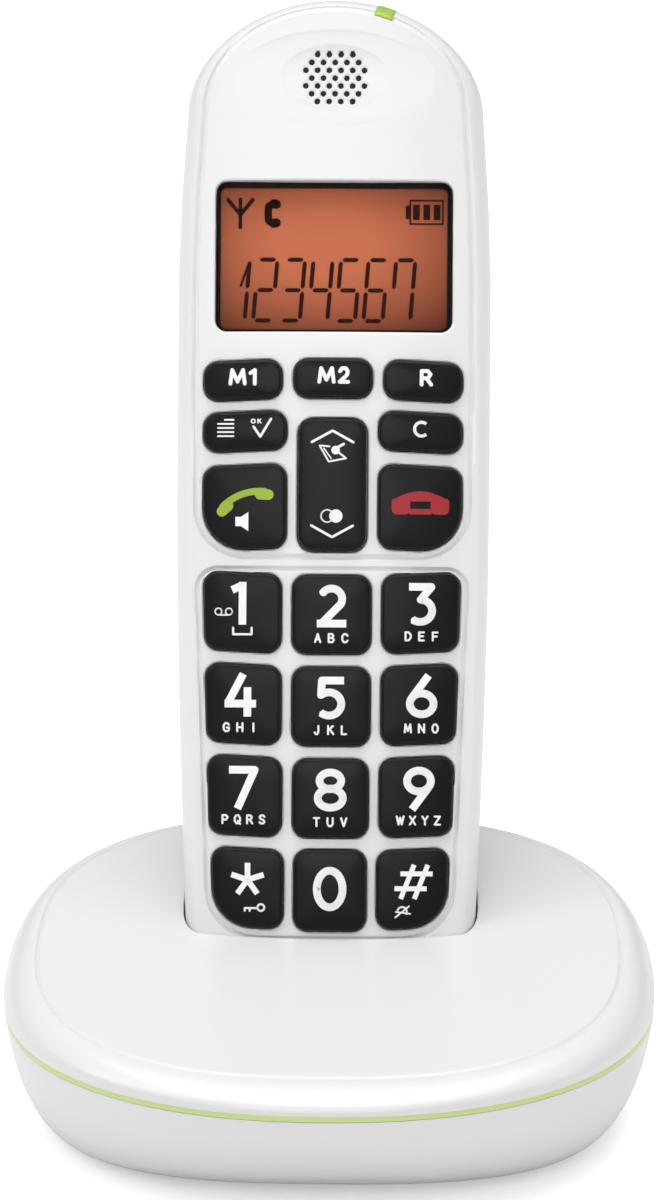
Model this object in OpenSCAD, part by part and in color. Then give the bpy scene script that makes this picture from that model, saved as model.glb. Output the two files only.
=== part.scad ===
// Big-button cordless telephone handset standing in its charging base.
// Lengths are millimetres. +X is to the user's right, -Y faces the user, +Z is up.
// The origin is the middle of the whole object's footprint, on the surface it stands on.

/* [Handset] */
// Length of the handset
handset_len = 163.2; // [160:0.2:165]
// Widest width of the handset
handset_w = 51; // [50.5:0.5:53]
// Depth of the front cover, from the parting plane to the crown of the face
front_depth = 11.2; // [11:0.1:12]
// Depth of the rear cover, from the parting plane to the crown of the back
back_depth = 14.8; // [14.5:0.1:16]
// Wall of the handset covers
wall = 1.8; // [1.6:0.1:2]
// How far the docked handset leans back from upright, in degrees
lean = 20; // [18:1:21]
// Height of the arch that closes the top, seen from the front
arch_h = 18; // [17:0.5:19]
// Radius of the barrel curve of the face across its width
face_r = 143; // [130:1:180]

/* [Keys] */
// How far the keys stand proud of the face
key_proud = 1.2; // [0.8:0.1:1.5]
// Travel of a key
key_travel = 1; // [0.6:0.1:1]
// Gap all round a key in its opening
key_gap = 0.3; // [0.25:0.05:0.35]
// Height of the number keys
number_h = 12.7; // [12:0.1:12.9]
// Distance from one row of number keys to the next
number_pitch = 14.85; // [14.7:0.05:15]

/* [Display] */
// Width of the display window
window_w = 38.6; // [36:0.2:39]
// Height of the display window
window_h = 24.6; // [23:0.2:25]

/* [Base] */
// Width of the base at its trim ring
base_w = 104.6; // [102:0.2:108]
// Depth of the base at its trim ring
base_d = 95; // [94:0.5:97]
// Height of the trim ring's middle above the table
trim_z = 19.6; // [19.2:0.2:20.4]
// Height of the deck at the middle of the base
deck_z = 29.5; // [29.1:0.2:30.1]
// Forward slope of the deck, in degrees
deck_slope = 7.6; // [7:0.2:8]
// Wall of the base covers
base_wall = 2; // [1.8:0.1:2.2]

/* [Hidden] */
$fn = 48;
eps = 0.01;

NUMBER_NAMES = ["key_1", "key_2", "key_3", "key_4", "key_5", "key_6", "key_7", "key_8", "key_9",
                "key_star", "key_0", "key_hash"];
FUNCTION_NAMES = ["key_memory_1", "key_memory_2", "key_recall", "key_menu", "key_cancel", "key_call",
                  "key_end"];

white = "white";
charcoal = [0.13, 0.13, 0.14];
trim_green = [0.72, 0.84, 0.45];

// ---- where the handset stands ----
half_w = handset_w / 2;
foot_z = 1;                                   // thickness of the rubber feet
handset_foot = [7.8, 15.7];                    // y and z of the handset's parting plane at its lower end
origin_shift = 12.92;                         // from the base's middle to the whole footprint's middle

// ---- outline helpers ----
function unit(v) = v / norm(v);
function wrap(a) = a > 180 ? a - 360 : a < -180 ? a + 360 : a;

// One rounded corner of a polygon: an arc of radius r at p, between its neighbours a and b.
function corner_arc(a, p, b, r, grow, steps) =
    let (u = unit(a - p), v = unit(b - p), m = unit(u + v),
         half = acos(u * v) / 2,
         q = p - m * grow / sin(half),
         c = q + m * (r + grow) / sin(half),
         s = q + u * (r + grow) / tan(half) - c,
         e = q + v * (r + grow) / tan(half) - c,
         a0 = atan2(s[1], s[0]),
         turn = wrap(atan2(e[1], e[0]) - a0))
    [for (i = [0:steps]) c + (r + grow) * [cos(a0 + turn * i / steps), sin(a0 + turn * i / steps)]];

// A polygon with its own radius at each corner, grown outward by grow.
function rounded(corners, radii, grow = 0, steps = 5) =
    let (n = len(corners))
    [for (i = [0:n - 1])
        each corner_arc(corners[(i + n - 1) % n], corners[i], corners[(i + 1) % n], radii[i], grow, steps)];

function box_corners(w, h) = [[-w / 2, -h / 2], [w / 2, -h / 2], [w / 2, h / 2], [-w / 2, h / 2]];

function sign_pow(v, p) = sign(v) * pow(abs(v), p);

// An oval with squarer shoulders than an ellipse: n is 2 for an ellipse, and more for a boxier shape.
function oval(a, b, n, steps = 56) =
    [for (i = [0:steps - 1]) let (t = 360 * i / steps)
        [a * sign_pow(cos(t), 2 / n), b * sign_pow(sin(t), 2 / n)]];

// ---- handset body ----
arch_z = handset_len - arch_h;
// Half width along the length, as shares of the length and of the widest half width.
WIDTHS = [[0, 0.912], [0.09, 0.928], [0.22, 0.961], [0.3, 0.978], [0.4, 0.993], [0.5, 1], [0.72, 1],
          [0.8, 0.982], [0.89, 0.944], [1, 0.9]];
function side_at(z) = half_w * lookup(z / handset_len, WIDTHS);
function half_width(z) = side_at(z) * sqrt(max(1 - pow(max(z - arch_z, 0) / arch_h, 2), 0.0001));
// Rounds the depth off within edge of an end, down to the share low.
function end_round(d, edge, low) = let (t = min(d / edge, 1)) low + (1 - low) * sqrt(1 - (1 - t) * (1 - t));
function front_at(z) = front_depth * end_round(handset_len - z, 4, 0.5) * end_round(z, 2.5, 0.75);
function back_at(z) = back_depth * end_round(handset_len - z, 16, 0.35) * end_round(z, 5, 0.7);
function face_drop(x) = x * x / (2 * face_r);

shoulder = 2.9;                               // width of the rounded band beside the face
// Cross-section of the handset, seen along its length: w half width, f front depth, b back depth.
function section(w, f, b) =
    let (xf = max(w - shoulder, w * 0.5), yf = f - face_drop(xf), y0 = 0.3 * f)
    concat(
        [for (i = [-4:4]) let (x = xf * i / 4) [x, -(f - face_drop(x))]],
        [for (i = [1:5]) let (t = 90 - 18 * i) [xf + (w - xf) * cos(t), -(y0 + (yf - y0) * sin(t))]],
        [for (i = [0:12]) let (t = 15 * i) [w * sign_pow(cos(t), 2 / 2.6), b * sign_pow(sin(t), 2 / 2.6)]],
        [for (i = [0:4]) let (t = 18 * i) [-xf - (w - xf) * cos(t), -(y0 + (yf - y0) * sin(t))]]);

// Stations along the length, closer together where the shape turns.
STATIONS = concat([0, 0.5, 1.5, 3, 5], [for (s = [0.09, 0.22, 0.3, 0.4, 0.5, 0.72, 0.8]) s],
                  [for (t = [0:12:72]) t], [80, 86]);
function station_z(i) = i < 5 ? STATIONS[i]
                      : i < 12 ? STATIONS[i] * handset_len
                      : arch_z + arch_h * sin(STATIONS[i]);

// The handset's closed outer form, pulled in by inset all round; with flare it is grown instead.
module handset_form(inset = 0) {
    hull()
        for (i = [0:len(STATIONS) - 1]) {
            z = station_z(i);
            k = inset == 0 ? 1 : (handset_len - 2 * inset) / handset_len;
            translate([0, 0, inset + z * k])
                linear_extrude(eps)
                    polygon(section(max(half_width(z) - inset, 0.4), front_at(z) - inset, back_at(z) - inset));
        }
}

// The same cross-section drawn straight, for the pocket the handset stands in.
module handset_pocket(grow, low, high) {
    hull()
        for (z = [low, high])
            translate([0, 0, z])
                linear_extrude(eps)
                    polygon(section(half_width(max(z, 0)) + grow, front_depth + grow, back_depth + grow));
}

// Puts a piece drawn in the handset's own frame into the docked place.
module docked() {
    translate([0, handset_foot[0] - origin_shift, handset_foot[1]]) rotate([-lean, 0, 0]) children();
}

module base_place() {
    translate([0, -origin_shift, 0]) children();
}

// Extrudes an outline drawn in the face (x, z) from y0 back to y1.
module through_face(outline, y0, y1) {
    translate([0, y1, 0]) rotate([90, 0, 0]) linear_extrude(y1 - y0) polygon(outline);
}

// A round piece whose axis runs front to back.
module round_through(r, y0, y1, x = 0, z = 0) {
    translate([x, y1, z]) rotate([90, 0, 0]) cylinder(r = r, h = y1 - y0);
}

// The barrel surface of the face, raised by proud: everything behind it.
module behind_face(proud) {
    translate([0, face_r - front_depth, -1]) cylinder(r = face_r + proud, h = handset_len + 2, $fn = 180);
}

// ---- key layout, in the plane of the face ----
number_z0 = 18.3;                             // middle of the lowest number row
number_bow = 0.0018;                          // the number rows rise towards the sides
function_bow = -0.0016;                       // the function rows fall towards the sides
key_r = 2.3;                                  // corner radius of a key
big_r = 6.6;                                  // the one large corner of the outer keys
NUMBER_X = [13.3, 13.85, 14.2, 14.4];         // side columns, from the lowest row up
NUMBER_SIDE_W = [11.5, 11.9, 12.2, 12.5];
NUMBER_MID_W = [11.7, 12.2, 12.6, 12.7];
side_lean = 0.18;                             // the outer edges lean in towards the lower end

function key_corners(x, z, w, h, bow, taper = 0) =
    [for (c = [[-1, -1], [1, -1], [1, 1], [-1, 1]])
        let (px = x + c[0] * w / 2 + (c[0] * x > 0 ? c[0] * c[1] * taper : 0)) [px, z + c[1] * h / 2 + bow * px * px]];

// Corners run from the lower left, counter-clockwise seen from the front.
function number_key(i, grow) =
    let (row = 3 - floor(i / 3), col = i % 3 - 1, x = col * NUMBER_X[row],
         w = col == 0 ? NUMBER_MID_W[row] : NUMBER_SIDE_W[row],
         last = row == 0,
         radii = [last && col < 0 ? big_r : key_r, last && col > 0 ? big_r : key_r, key_r, key_r])
    rounded(key_corners(x, number_z0 + row * number_pitch, w, last && col == 0 ? number_h + 0.4 : number_h,
                        number_bow, side_lean), radii, grow);

function function_key(i, grow) =
    i < 3 ? rounded(key_corners((i - 1) * 14.6, 101.2, 12.7, 6.3, function_bow), [2.4, 2.4, 2.4, 2.4], grow)
    : i < 5 ? rounded(key_corners((i == 3 ? -1 : 1) * 14.2, 92.9, 13.5, 6.3, function_bow), [2.4, 2.4, 2.4, 2.4], grow)
    : rounded(key_corners((i == 5 ? -1 : 1) * 14.2, 80.6, 13.5, 13.6, function_bow),
              [i == 5 ? big_r : key_r, i == 6 ? big_r : key_r, key_r, key_r], grow);

function navigator_key(grow) = rounded(key_corners(0, 84, 11.2, 21.5, 0), [2.4, 2.4, 2.4, 2.4], grow);

flange_y = front_depth - 3.7;                 // depth of the hidden flange that keeps a key in
flange_t = 0.7;
flange_grow = 0.55;

module key_body(outline, flange) {
    color(charcoal) docked()
        union() {
            intersection() {
                through_face(outline, -front_depth - key_proud - 1, -flange_y + flange_t / 2);
                behind_face(key_proud);
            }
            through_face(flange, -flange_y, -flange_y + flange_t);
        }
}

// ---- handset pieces ----
mat_y = [-5.5, -3.4 - key_travel];              // the mat: a key's foot stands its travel above it
board_y = [-4.2, -3.0];
window_z = 121;
ear_z = 149.9;
battery_z = [44, 100];                        // battery bay along the handset
bay_w = 24.4;
cover_w = 30;
cover_gap = 0.25;
SCREWS = [[-15, 7.5], [15, 7.5], [-15, 141], [15, 141]];
post_r = 2.4;
pad_x = 8;
pad_y = 4.5;

module ear_holes(y0, y1) {
    pitch = 1.9;
    row_h = 1.27;
    COUNTS = [4, 5, 6, 5, 6, 5, 4];
    for (r = [0:6], c = [0:COUNTS[r] - 1])
        round_through(0.5, y0, y1, (c - (COUNTS[r] - 1) / 2) * pitch, ear_z + (r - 3) * row_h, $fn = 12);
}

module light_pipe_slot(grow) {
    x = 8.4;
    h = arch_h * sqrt(1 - pow(x / side_at(handset_len), 2));
    translate([x, 0, arch_z + h]) rotate([0, atan2(x * arch_h * arch_h, h * pow(side_at(handset_len), 2)), 0])
        translate([-1.5 - grow, -8.9 - grow, -3.4]) cube([3 + 2 * grow, 6.4 + 2 * grow, 5]);
}

module front_half(y = 0) {
    translate([-50, y - 60, -5]) cube([100, 60, handset_len + 10]);
}

module handset_front_cover() {
    color(white) docked() difference() {
        union() {
            difference() {
                intersection() {
                    handset_form();
                    front_half(-0.05);
                }
                handset_form(wall);
            }
            for (s = SCREWS) round_through(post_r, -front_depth + 2.2, -4.6, s[0], s[1], $fn = 24);
        }
        for (s = SCREWS) round_through(0.9, -front_depth + 3.2, -4, s[0], s[1], $fn = 24);
        for (i = [0:11]) through_face(number_key(i, key_gap), -20, -5.5);
        for (i = [0:6]) through_face(function_key(i, key_gap), -20, -5.5);
        through_face(navigator_key(key_gap + 0.1), -20, -5.5);
        translate([0, 0, window_z]) through_face(rounded(box_corners(window_w, window_h), [2, 2, 2, 2]), -20, -7);
        ear_holes(-20, -8);
        round_through(0.6, -20, -7, 0, 8, $fn = 16);
        light_pipe_slot(0.08);
    }
}

function bay_outline(grow) = rounded(box_corners(bay_w + 2 * grow, battery_z[1] - battery_z[0] + 2 * grow),
                                     [1.5, 1.5, 1.5, 1.5]);
function cover_outline(grow) = rounded(box_corners(cover_w, battery_z[1] - battery_z[0] + 8), [4, 4, 4, 4], grow);
bay_mid = (battery_z[0] + battery_z[1]) / 2;

module handset_rear_cover() {
    color(white) docked() difference() {
        union() {
            difference() {
                handset_form();
                handset_form(wall);
                front_half(0.05);
            }
            intersection() {
                handset_form(0.2);
                union() {
                    translate([0, 0, bay_mid]) through_face(bay_outline(1.2), 0.3, 20);
                    translate([0, 0, bay_mid]) through_face(cover_outline(1.5), 9.5, 20);
                    for (s = SCREWS) round_through(post_r, 0.3, 20, s[0], s[1], $fn = 24);
                }
            }
        }
        translate([0, 0, bay_mid]) through_face(bay_outline(0), 1.5, 20);
        difference() {
            translate([0, 0, bay_mid]) through_face(cover_outline(cover_gap), 5, 20);
            handset_form(wall + cover_gap);
        }
        for (s = SCREWS) {
            round_through(1.25, -1, 20, s[0], s[1], $fn = 24);
            round_through(2, 5, 20, s[0], s[1], $fn = 24);
        }
        for (i = [-3:3]) round_through(0.7, 5, 20, i * 2.6, 125, $fn = 16);
        for (i = [-2:2]) round_through(0.7, 5, 20, i * 2.6, 121, $fn = 16);
        for (i = [-2:2]) round_through(0.7, 5, 20, i * 2.6, 129, $fn = 16);
        for (s = [-1, 1]) translate([s * pad_x - 2.6, pad_y - 2.1, -1]) cube([5.2, 4.2, 4]);
    }
}

module battery_cover() {
    color(white) docked() difference() {
        intersection() {
            handset_form();
            translate([0, 0, bay_mid]) through_face(cover_outline(0), 5, 20);
        }
        handset_form(wall);
    }
}

window_inset = 0.45;                          // how far the window lies below the face
window_t = 1.2;

module curved_sheet(outline, inset, t) {
    translate([0, 0, window_z]) difference() {
        intersection() {
            through_face(outline, -front_depth, -6);
            translate([0, 0, -window_z]) behind_face(-inset);
        }
        translate([0, 0, -window_z]) behind_face(-inset - t);
    }
}

module display_window() {
    color([0.85, 0.9, 0.92, 0.4]) docked()
        curved_sheet(rounded(box_corners(window_w - 0.3, window_h - 0.3), [1.9, 1.9, 1.9, 1.9]), window_inset, window_t);
}

module display_mask() {
    color("black") docked() difference() {
        curved_sheet(rounded(box_corners(window_w - 0.3, window_h - 0.3), [1.9, 1.9, 1.9, 1.9]),
                     window_inset + window_t + 0.02, 0.3);
        translate([0, 0, window_z]) through_face(rounded(box_corners(window_w - 1.6, window_h - 1.9), [1.2, 1.2, 1.2, 1.2]), -20, 0);
    }
}

module flat_block(w, h, y0, y1, z, r = 0.6) {
    translate([0, 0, z]) through_face(rounded(box_corners(w, h), [r, r, r, r], 0, 3), y0, y1);
}

module lcd_panel() {
    color([0.78, 0.42, 0.3]) docked() flat_block(38.4, 25.6, -7.4, -6.0, window_z, 0.4);
}

module backlight() {
    color([0.95, 0.6, 0.35]) docked() flat_block(38.4, 25.6, -5.9, -4.5, window_z, 0.4);
}

module lcd_holder() {
    color("black") docked() difference() {
        flat_block(41.6, 28.4, -7.5, -4.25, window_z);
        flat_block(38.8, 26, -9, -3, window_z, 0.4);
    }
}

module earpiece_speaker() {
    color("silver") docked() union() {
        round_through(7.3, -8.5, -6, 0, ear_z);
        round_through(5.2, -6.1, -4.4, 0, ear_z);
    }
}

module earpiece_felt() {
    color([0.1, 0.1, 0.1]) docked() round_through(6.8, -8.95, -8.6, 0, ear_z);
}

module ringer_speaker() {
    color("dimgray") docked() union() {
        round_through(10, 8.2, 10.6, 0, 125);
        round_through(6.5, 5, 8.3, 0, 125);
    }
}

module microphone() {
    color("silver") docked() round_through(2.4, -8.6, -6.4, 0, 8);
}

module handset_circuit_board() {
    color("darkgreen") docked() difference() {
        union() {
            translate([0, 0, 72]) through_face(rounded(box_corners(40, 130), [3, 3, 3, 3]), board_y[0], board_y[1]);
            translate([0, 0, 140]) through_face(rounded(box_corners(37, 30), [12, 12, 12, 12]), board_y[0], board_y[1]);
        }
        for (s = SCREWS) round_through(1.6, -9, 0, s[0], s[1], $fn = 24);
    }
}

module keypad_mat() {
    color("lightgray") docked() {
        translate([0, 0, 58.5]) through_face(rounded(box_corners(39.6, 94), [3, 3, 3, 3]), mat_y[0], mat_y[1]);
    }
}

module key_navigator() { key_body(navigator_key(0), navigator_key(flange_grow)); }

module indicator_light_pipe() {
    color(trim_green) docked() intersection() {
        handset_form();
        light_pipe_slot(0);
    }
}

cell_r = 5.2;
cell_y = 7.1;
module battery_cell(side) {
    color(trim_green) docked() translate([side * 6, cell_y, 0]) union() {
        translate([0, 0, 50.2]) cylinder(r = cell_r, h = 43.6);
        translate([0, 0, side > 0 ? 93.7 : 49.4]) cylinder(r = 1.9, h = 0.9);
    }
}
module battery_left() { battery_cell(-1); }
module battery_right() { battery_cell(1); }

// Four plates at the ends of the cells; the two that meet a cell's flat end carry a coil.
module battery_terminals() {
    color("silver") docked()
        for (side = [-1, 1], end = [0, 1]) {
            z = end == 1 ? battery_z[1] - 0.7 : battery_z[0] + 0.2;
            flat_end = (side > 0) == (end == 0);
            coil = flat_end ? 5 : 4.1;
            translate([side * 6 - 4.6, cell_y - 4.4, z]) cube([9.2, 8.8, 0.5]);
            translate([side * 6, cell_y, end == 1 ? z - coil : z + 0.4]) difference() {
                cylinder(r1 = end == 1 ? 2.2 : 3.4, r2 = end == 1 ? 3.4 : 2.2, h = coil + 0.1);
                translate([0, 0, -1]) cylinder(r = 1.4, h = coil + 3);
            }
        }
}

module handset_antenna() {
    color("gold") docked() union() {
        translate([-12, -2.9, 150]) cube([24, 0.4, 3]);
        translate([-12, -2.9, 146]) cube([2, 3, 5]);
    }
}

module handset_charge_pads() {
    color("silver") docked()
        for (s = [-1, 1]) union() {
            translate([s * pad_x - 2.5, pad_y - 2, 0.1]) cube([5, 4, 1.6]);
            translate([s * pad_x - 1, pad_y - 1, 1.6]) cube([2, 2, 3]);
        }
}

module handset_screws() {
    color("silver") docked()
        for (s = SCREWS) union() {
            round_through(0.85, -6.8, 5.2, s[0], s[1], $fn = 24);
            round_through(1.8, 5.05, 6.5, s[0], s[1], $fn = 24);
        }
}

// ---- base ----
base_a = base_w / 2;
base_b = base_d / 2;
trim_h = 1.5;
bottom_front = 18.6;                            // how far the underside is set in at the front
bottom_back = 9;
bottom_side = 9.2;
bulge = 1.4;                                  // fullness of the side above the trim
deck_in_x = 3.6;                              // how far the deck's edge is set in at the sides
deck_in_y = 4.2;                              // and at the front and back
deck_crown = 0.4;                             // rise of the deck's middle
plan_n = 2.2;                                 // squareness of the plan at the trim
deck_n = 2.5;
foot_n = 3.1;

// One level of the lower tub: share k is 0 at the underside and 1 at the trim.
module tub_slice(z, k, inset) {
    back = bottom_back * (1 - k);
    front = bottom_front * (1 - k);
    translate([0, (front - back) / 2, z]) linear_extrude(eps)
        polygon(oval(base_a - bottom_side * (1 - k) - inset, base_b - (front + back) / 2 - inset,
                     foot_n + (plan_n - foot_n) * k));
}

module tub_form(inset) {
    levels = [0, 0.03, 0.1, 0.25, 0.45, 0.7, 1];
    hull()
        for (f = levels) {
            k = pow(1 - pow(1 - f, 1.7), 1 / 1.7);
            tub_slice(foot_z + inset + (trim_z - foot_z - inset) * f, k, inset);
        }
}

// One level of the upper cover: share f is 0 at the trim and 1 at the deck's edge.
module top_slice(f, inset) {
    a = base_a + bulge * f * (1 - f) - deck_in_x * pow(f, 3) - inset;
    b = base_b + bulge * f * (1 - f) - deck_in_y * pow(f, 3) - inset;
    rise = deck_z - deck_crown - trim_z;
    multmatrix([[1, 0, 0, 0], [0, 1, 0, 0], [0, f * tan(deck_slope), 1, trim_z + rise * f - inset * f], [0, 0, 0, 1]])
        linear_extrude(eps) polygon(oval(a, b, plan_n + (deck_n - plan_n) * f));
}

module deck_dome(share, lift, inset) {
    multmatrix([[1, 0, 0, 0], [0, 1, 0, 0], [0, tan(deck_slope), 1, deck_z - deck_crown + lift - inset], [0, 0, 0, 1]])
        linear_extrude(eps) polygon(oval((base_a - deck_in_x) * share - inset, (base_b - deck_in_y) * share - inset, deck_n));
}

module top_form(inset) {
    hull() {
        for (f = [0, 0.25, 0.5, 0.75, 0.9, 1]) top_slice(f, inset);
        deck_dome(0.7, 0.25, inset);
        deck_dome(0.35, deck_crown, inset);
    }
}

pocket_gap = 0.7;
pocket_wall = 1.6;
BASE_SCREWS = [[-34, 8], [34, 8], [-16, -21], [16, -21]];

// Puts a piece drawn in the handset's frame into the base's own frame.
module in_base() {
    translate([0, handset_foot[0], handset_foot[1]]) rotate([-lean, 0, 0]) children();
}

pin_r = 1.2;
module pin_axes(low, high, r) {
    for (s = [-1, 1]) translate([s * pad_x, pad_y, low]) cylinder(r = r, h = high - low);
}

module base_top_cover() {
    color(white) base_place() difference() {
        union() {
            difference() {
                top_form(0);
                top_form(base_wall);
                translate([-100, -100, trim_z - 10]) cube([200, 200, 10 + trim_h / 2]);
            }
            intersection() {
                top_form_and_below();
                union() {
                    in_base() handset_pocket(pocket_gap + pocket_wall, -pocket_gap - pocket_wall, 40);
                    for (s = BASE_SCREWS) translate([s[0], s[1], 4.2]) cylinder(r = 3, h = 30, $fn = 24);
                }
            }
        }
        in_base() handset_pocket(pocket_gap, -pocket_gap, 60);
        in_base() pin_axes(-6, 2, 1.5);
        for (s = BASE_SCREWS) translate([s[0], s[1], 3]) cylinder(r = 1.05, h = 10, $fn = 24);
    }
}

// The space under the deck, down to the board.
module top_form_and_below() {
    hull() {
        top_form(0.3);
        translate([0, 3, 4.2]) linear_extrude(eps) polygon(oval(base_a - 10, base_b - 9, foot_n));
    }
}

SOCKET_W = 11.4;
SOCKET_H = 8.6;
SOCKET_Z = 5.6;
socket_x = 13.5;
socket_y = [31, 42.4];
page_z = 13;

module socket_place(side) {
    translate([side * socket_x, 0, 0]) children();
}

module base_bottom_cover() {
    color(white) base_place() difference() {
        union() {
            difference() {
                tub_form(0);
                tub_form(base_wall);
                translate([-100, -100, trim_z - trim_h / 2]) cube([200, 200, 10]);
            }
            for (x = [-22, 22], y = [-5, 25]) translate([x, y, foot_z + 1]) cylinder(r = 2, h = 1.58, $fn = 24);
        }
        for (side = [-1, 1]) socket_place(side)
            translate([-SOCKET_W / 2 - 0.2, 33, SOCKET_Z - 0.2]) cube([SOCKET_W + 0.4, 20, SOCKET_H + 0.4]);
        translate([0, 30, page_z]) rotate([-90, 0, 0]) cylinder(r = 3.8, h = 20);
        for (s = BASE_SCREWS) translate([s[0], s[1], 0]) {
            cylinder(r = 1.5, h = 10, $fn = 24);
            cylinder(r = 2.6, h = 2, $fn = 24);
        }
    }
}

module trim_ring() {
    color(trim_green) base_place() difference() {
        translate([0, 0, trim_z - trim_h / 2 + 0.03]) linear_extrude(trim_h - 0.06)
            polygon(oval(base_a + 0.15, base_b + 0.15, plan_n, 112));
        translate([0, 0, trim_z - 2]) linear_extrude(4)
            polygon(oval(base_a - 2.2, base_b - 2.2, plan_n, 112));
    }
}

module base_circuit_board() {
    color("darkgreen") base_place() {
        translate([0, 10, 3.6]) linear_extrude(1.4) polygon(rounded(box_corners(56, 40), [3, 3, 3, 3]));
    }
}

module base_antenna() {
    color("gold") base_place() union() {
        translate([-27, -6, 5.02]) cube([1, 14, 3]);
        translate([-27, -6, 7.9]) cube([5, 14, 0.4]);
    }
}

module charge_pin(side) {
    color("gold") docked() translate([side * pad_x, pad_y, 0]) union() {
        translate([0, 0, -5.2]) cylinder(r = pin_r, h = 5.2);
        translate([0, 0, -5.2]) cylinder(r = 1.8, h = 0.8);
    }
}
module charge_pin_left() { charge_pin(-1); }
module charge_pin_right() { charge_pin(1); }

// Sleeves under the pocket's floor that the sprung pins slide in.
module charge_pin_guides() {
    color(charcoal) docked()
        for (s = [-1, 1]) translate([s * pad_x, pad_y, -4.3]) difference() {
            cylinder(r = 2.6, h = 1.9);
            translate([0, 0, -1]) cylinder(r = pin_r + 0.08, h = 4);
        }
}

module page_button() {
    color([0.6, 0.6, 0.62]) base_place() union() {
        translate([0, 39.8, page_z]) rotate([-90, 0, 0]) cylinder(r = 3.4, h = base_b - 39.8);
        translate([0, 39.8, page_z]) rotate([-90, 0, 0]) cylinder(r = 4.4, h = 0.8);
    }
}

// Modular jack: a block with a stepped mouth at the back.
module jack(side) {
    color(charcoal) base_place() socket_place(side) difference() {
        translate([-SOCKET_W / 2, socket_y[0], SOCKET_Z]) cube([SOCKET_W, socket_y[1] - socket_y[0], SOCKET_H]);
        translate([-4.9, socket_y[0] + 2, SOCKET_Z + 1]) cube([9.8, 20, 6.6]);
    }
}
module line_socket() { jack(-1); }
module power_socket() { jack(1); }

module base_feet() {
    color(charcoal) base_place()
        for (p = [[-27, -14], [27, -14], [-27, 26], [27, 26]])
            translate([p[0], p[1], 0]) cylinder(r = 4.5, h = foot_z - 0.02);
}

module base_screws() {
    color("silver") base_place()
        for (s = BASE_SCREWS) translate([s[0], s[1], 0]) union() {
            translate([0, 0, 1.4]) cylinder(r = 1, h = 8.8, $fn = 24);
            translate([0, 0, 1.2]) cylinder(r = 2.2, h = 0.7, $fn = 24);
        }
}

for (i = [0:len(NUMBER_NAMES) - 1])
    key_body(number_key(i, 0), number_key(i, flange_grow));
for (i = [0:len(FUNCTION_NAMES) - 1])
    key_body(function_key(i, 0), function_key(i, flange_grow));
handset_front_cover();
handset_rear_cover();
battery_cover();
display_window();
display_mask();
lcd_panel();
backlight();
lcd_holder();
earpiece_speaker();
earpiece_felt();
ringer_speaker();
microphone();
handset_circuit_board();
keypad_mat();
key_navigator();
indicator_light_pipe();
battery_left();
battery_right();
battery_terminals();
handset_antenna();
handset_charge_pads();
handset_screws();
base_top_cover();
base_bottom_cover();
trim_ring();
base_circuit_board();
base_antenna();
charge_pin_left();
charge_pin_right();
charge_pin_guides();
page_button();
line_socket();
power_socket();
base_feet();
base_screws();
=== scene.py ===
import math

import bmesh
import bpy
import numpy as np
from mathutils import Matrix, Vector


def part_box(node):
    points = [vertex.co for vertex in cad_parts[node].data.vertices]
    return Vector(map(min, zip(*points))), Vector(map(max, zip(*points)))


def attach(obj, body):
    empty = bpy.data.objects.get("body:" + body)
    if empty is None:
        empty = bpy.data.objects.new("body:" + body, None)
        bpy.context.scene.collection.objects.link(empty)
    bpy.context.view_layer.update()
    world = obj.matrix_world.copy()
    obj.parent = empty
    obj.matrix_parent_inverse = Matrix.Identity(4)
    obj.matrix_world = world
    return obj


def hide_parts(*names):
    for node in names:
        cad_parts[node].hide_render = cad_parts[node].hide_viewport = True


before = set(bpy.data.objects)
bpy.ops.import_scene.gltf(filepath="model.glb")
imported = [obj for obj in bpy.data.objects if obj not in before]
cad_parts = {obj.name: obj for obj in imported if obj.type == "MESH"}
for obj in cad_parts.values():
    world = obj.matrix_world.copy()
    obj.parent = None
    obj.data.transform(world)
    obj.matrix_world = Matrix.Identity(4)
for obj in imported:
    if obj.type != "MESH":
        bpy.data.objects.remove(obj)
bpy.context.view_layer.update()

MM = 0.001

# ---------------------------------------------------------------- sizes, in millimetres
LENGTH = 163.2                # handset
HALF_W = 25.5
FRONT = 11.2                  # parting plane to the crown of the face
BACK = 14.8
ARCH_H = 18.0                 # height of the arched top
FACE_R = 143.0
SHOULDER = 2.9                # rounded band round the face
LEAN = math.radians(20)
ARCH_Z = LENGTH - ARCH_H
PROUD = 1.2                   # keys above the face
KEY_BEVEL, KEY_PILLOW = 0.55, 0.22
GAP, ROCKER_GAP = 0.14, 0.3   # round a key and round the rocker, as they look
WINDOW_W, WINDOW_H, WINDOW_Z = 38.6, 24.6, 121.0
PANE_W, PANE_H = WINDOW_W - 0.3, WINDOW_H - 0.3
EAR_Z = 149.9
PANEL_IN, PANEL_TOP_IN = 3.15, 2.0  # display panel's line, in from the outline
EAR_HOLE_R, SCREW_HOLE_R, SOUND_HOLE_R = 0.5, 2.0, 0.8
KEY_POCKET, WINDOW_POCKET, EAR_HOLE_DEPTH = 3.6, 4.3, 1.6
DOOR_W, DOOR_H, DOOR_Z, DOOR_R = 30, 64, 72, 4
LCD_Y = 8.0                   # front of the display panel
BULGE, DECK_IN_X, DECK_IN_Y, DECK_CROWN = 1.4, 3.6, 4.2, 0.4
DECK_Z = 29.1
DECK_SLOPE = math.tan(math.radians(7.6))
RING_N, DECK_N, BOTTOM_N, BACK_N = 2.2, 2.5, 3.1, 2.6   # superellipse powers
BOTTOM_SIDE, BOTTOM_BACK, BOTTOM_FRONT = 9.2, 9.0, 18.6  # how far the tub's bottom is drawn in
WELL_FLOOR, WELL_GAP, WELL_LIP = -0.7, 0.22, 0.28
SOCKET_X, SOCKET_Z = 13.5, 9.9
FOOT_Z = 1.0

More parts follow.
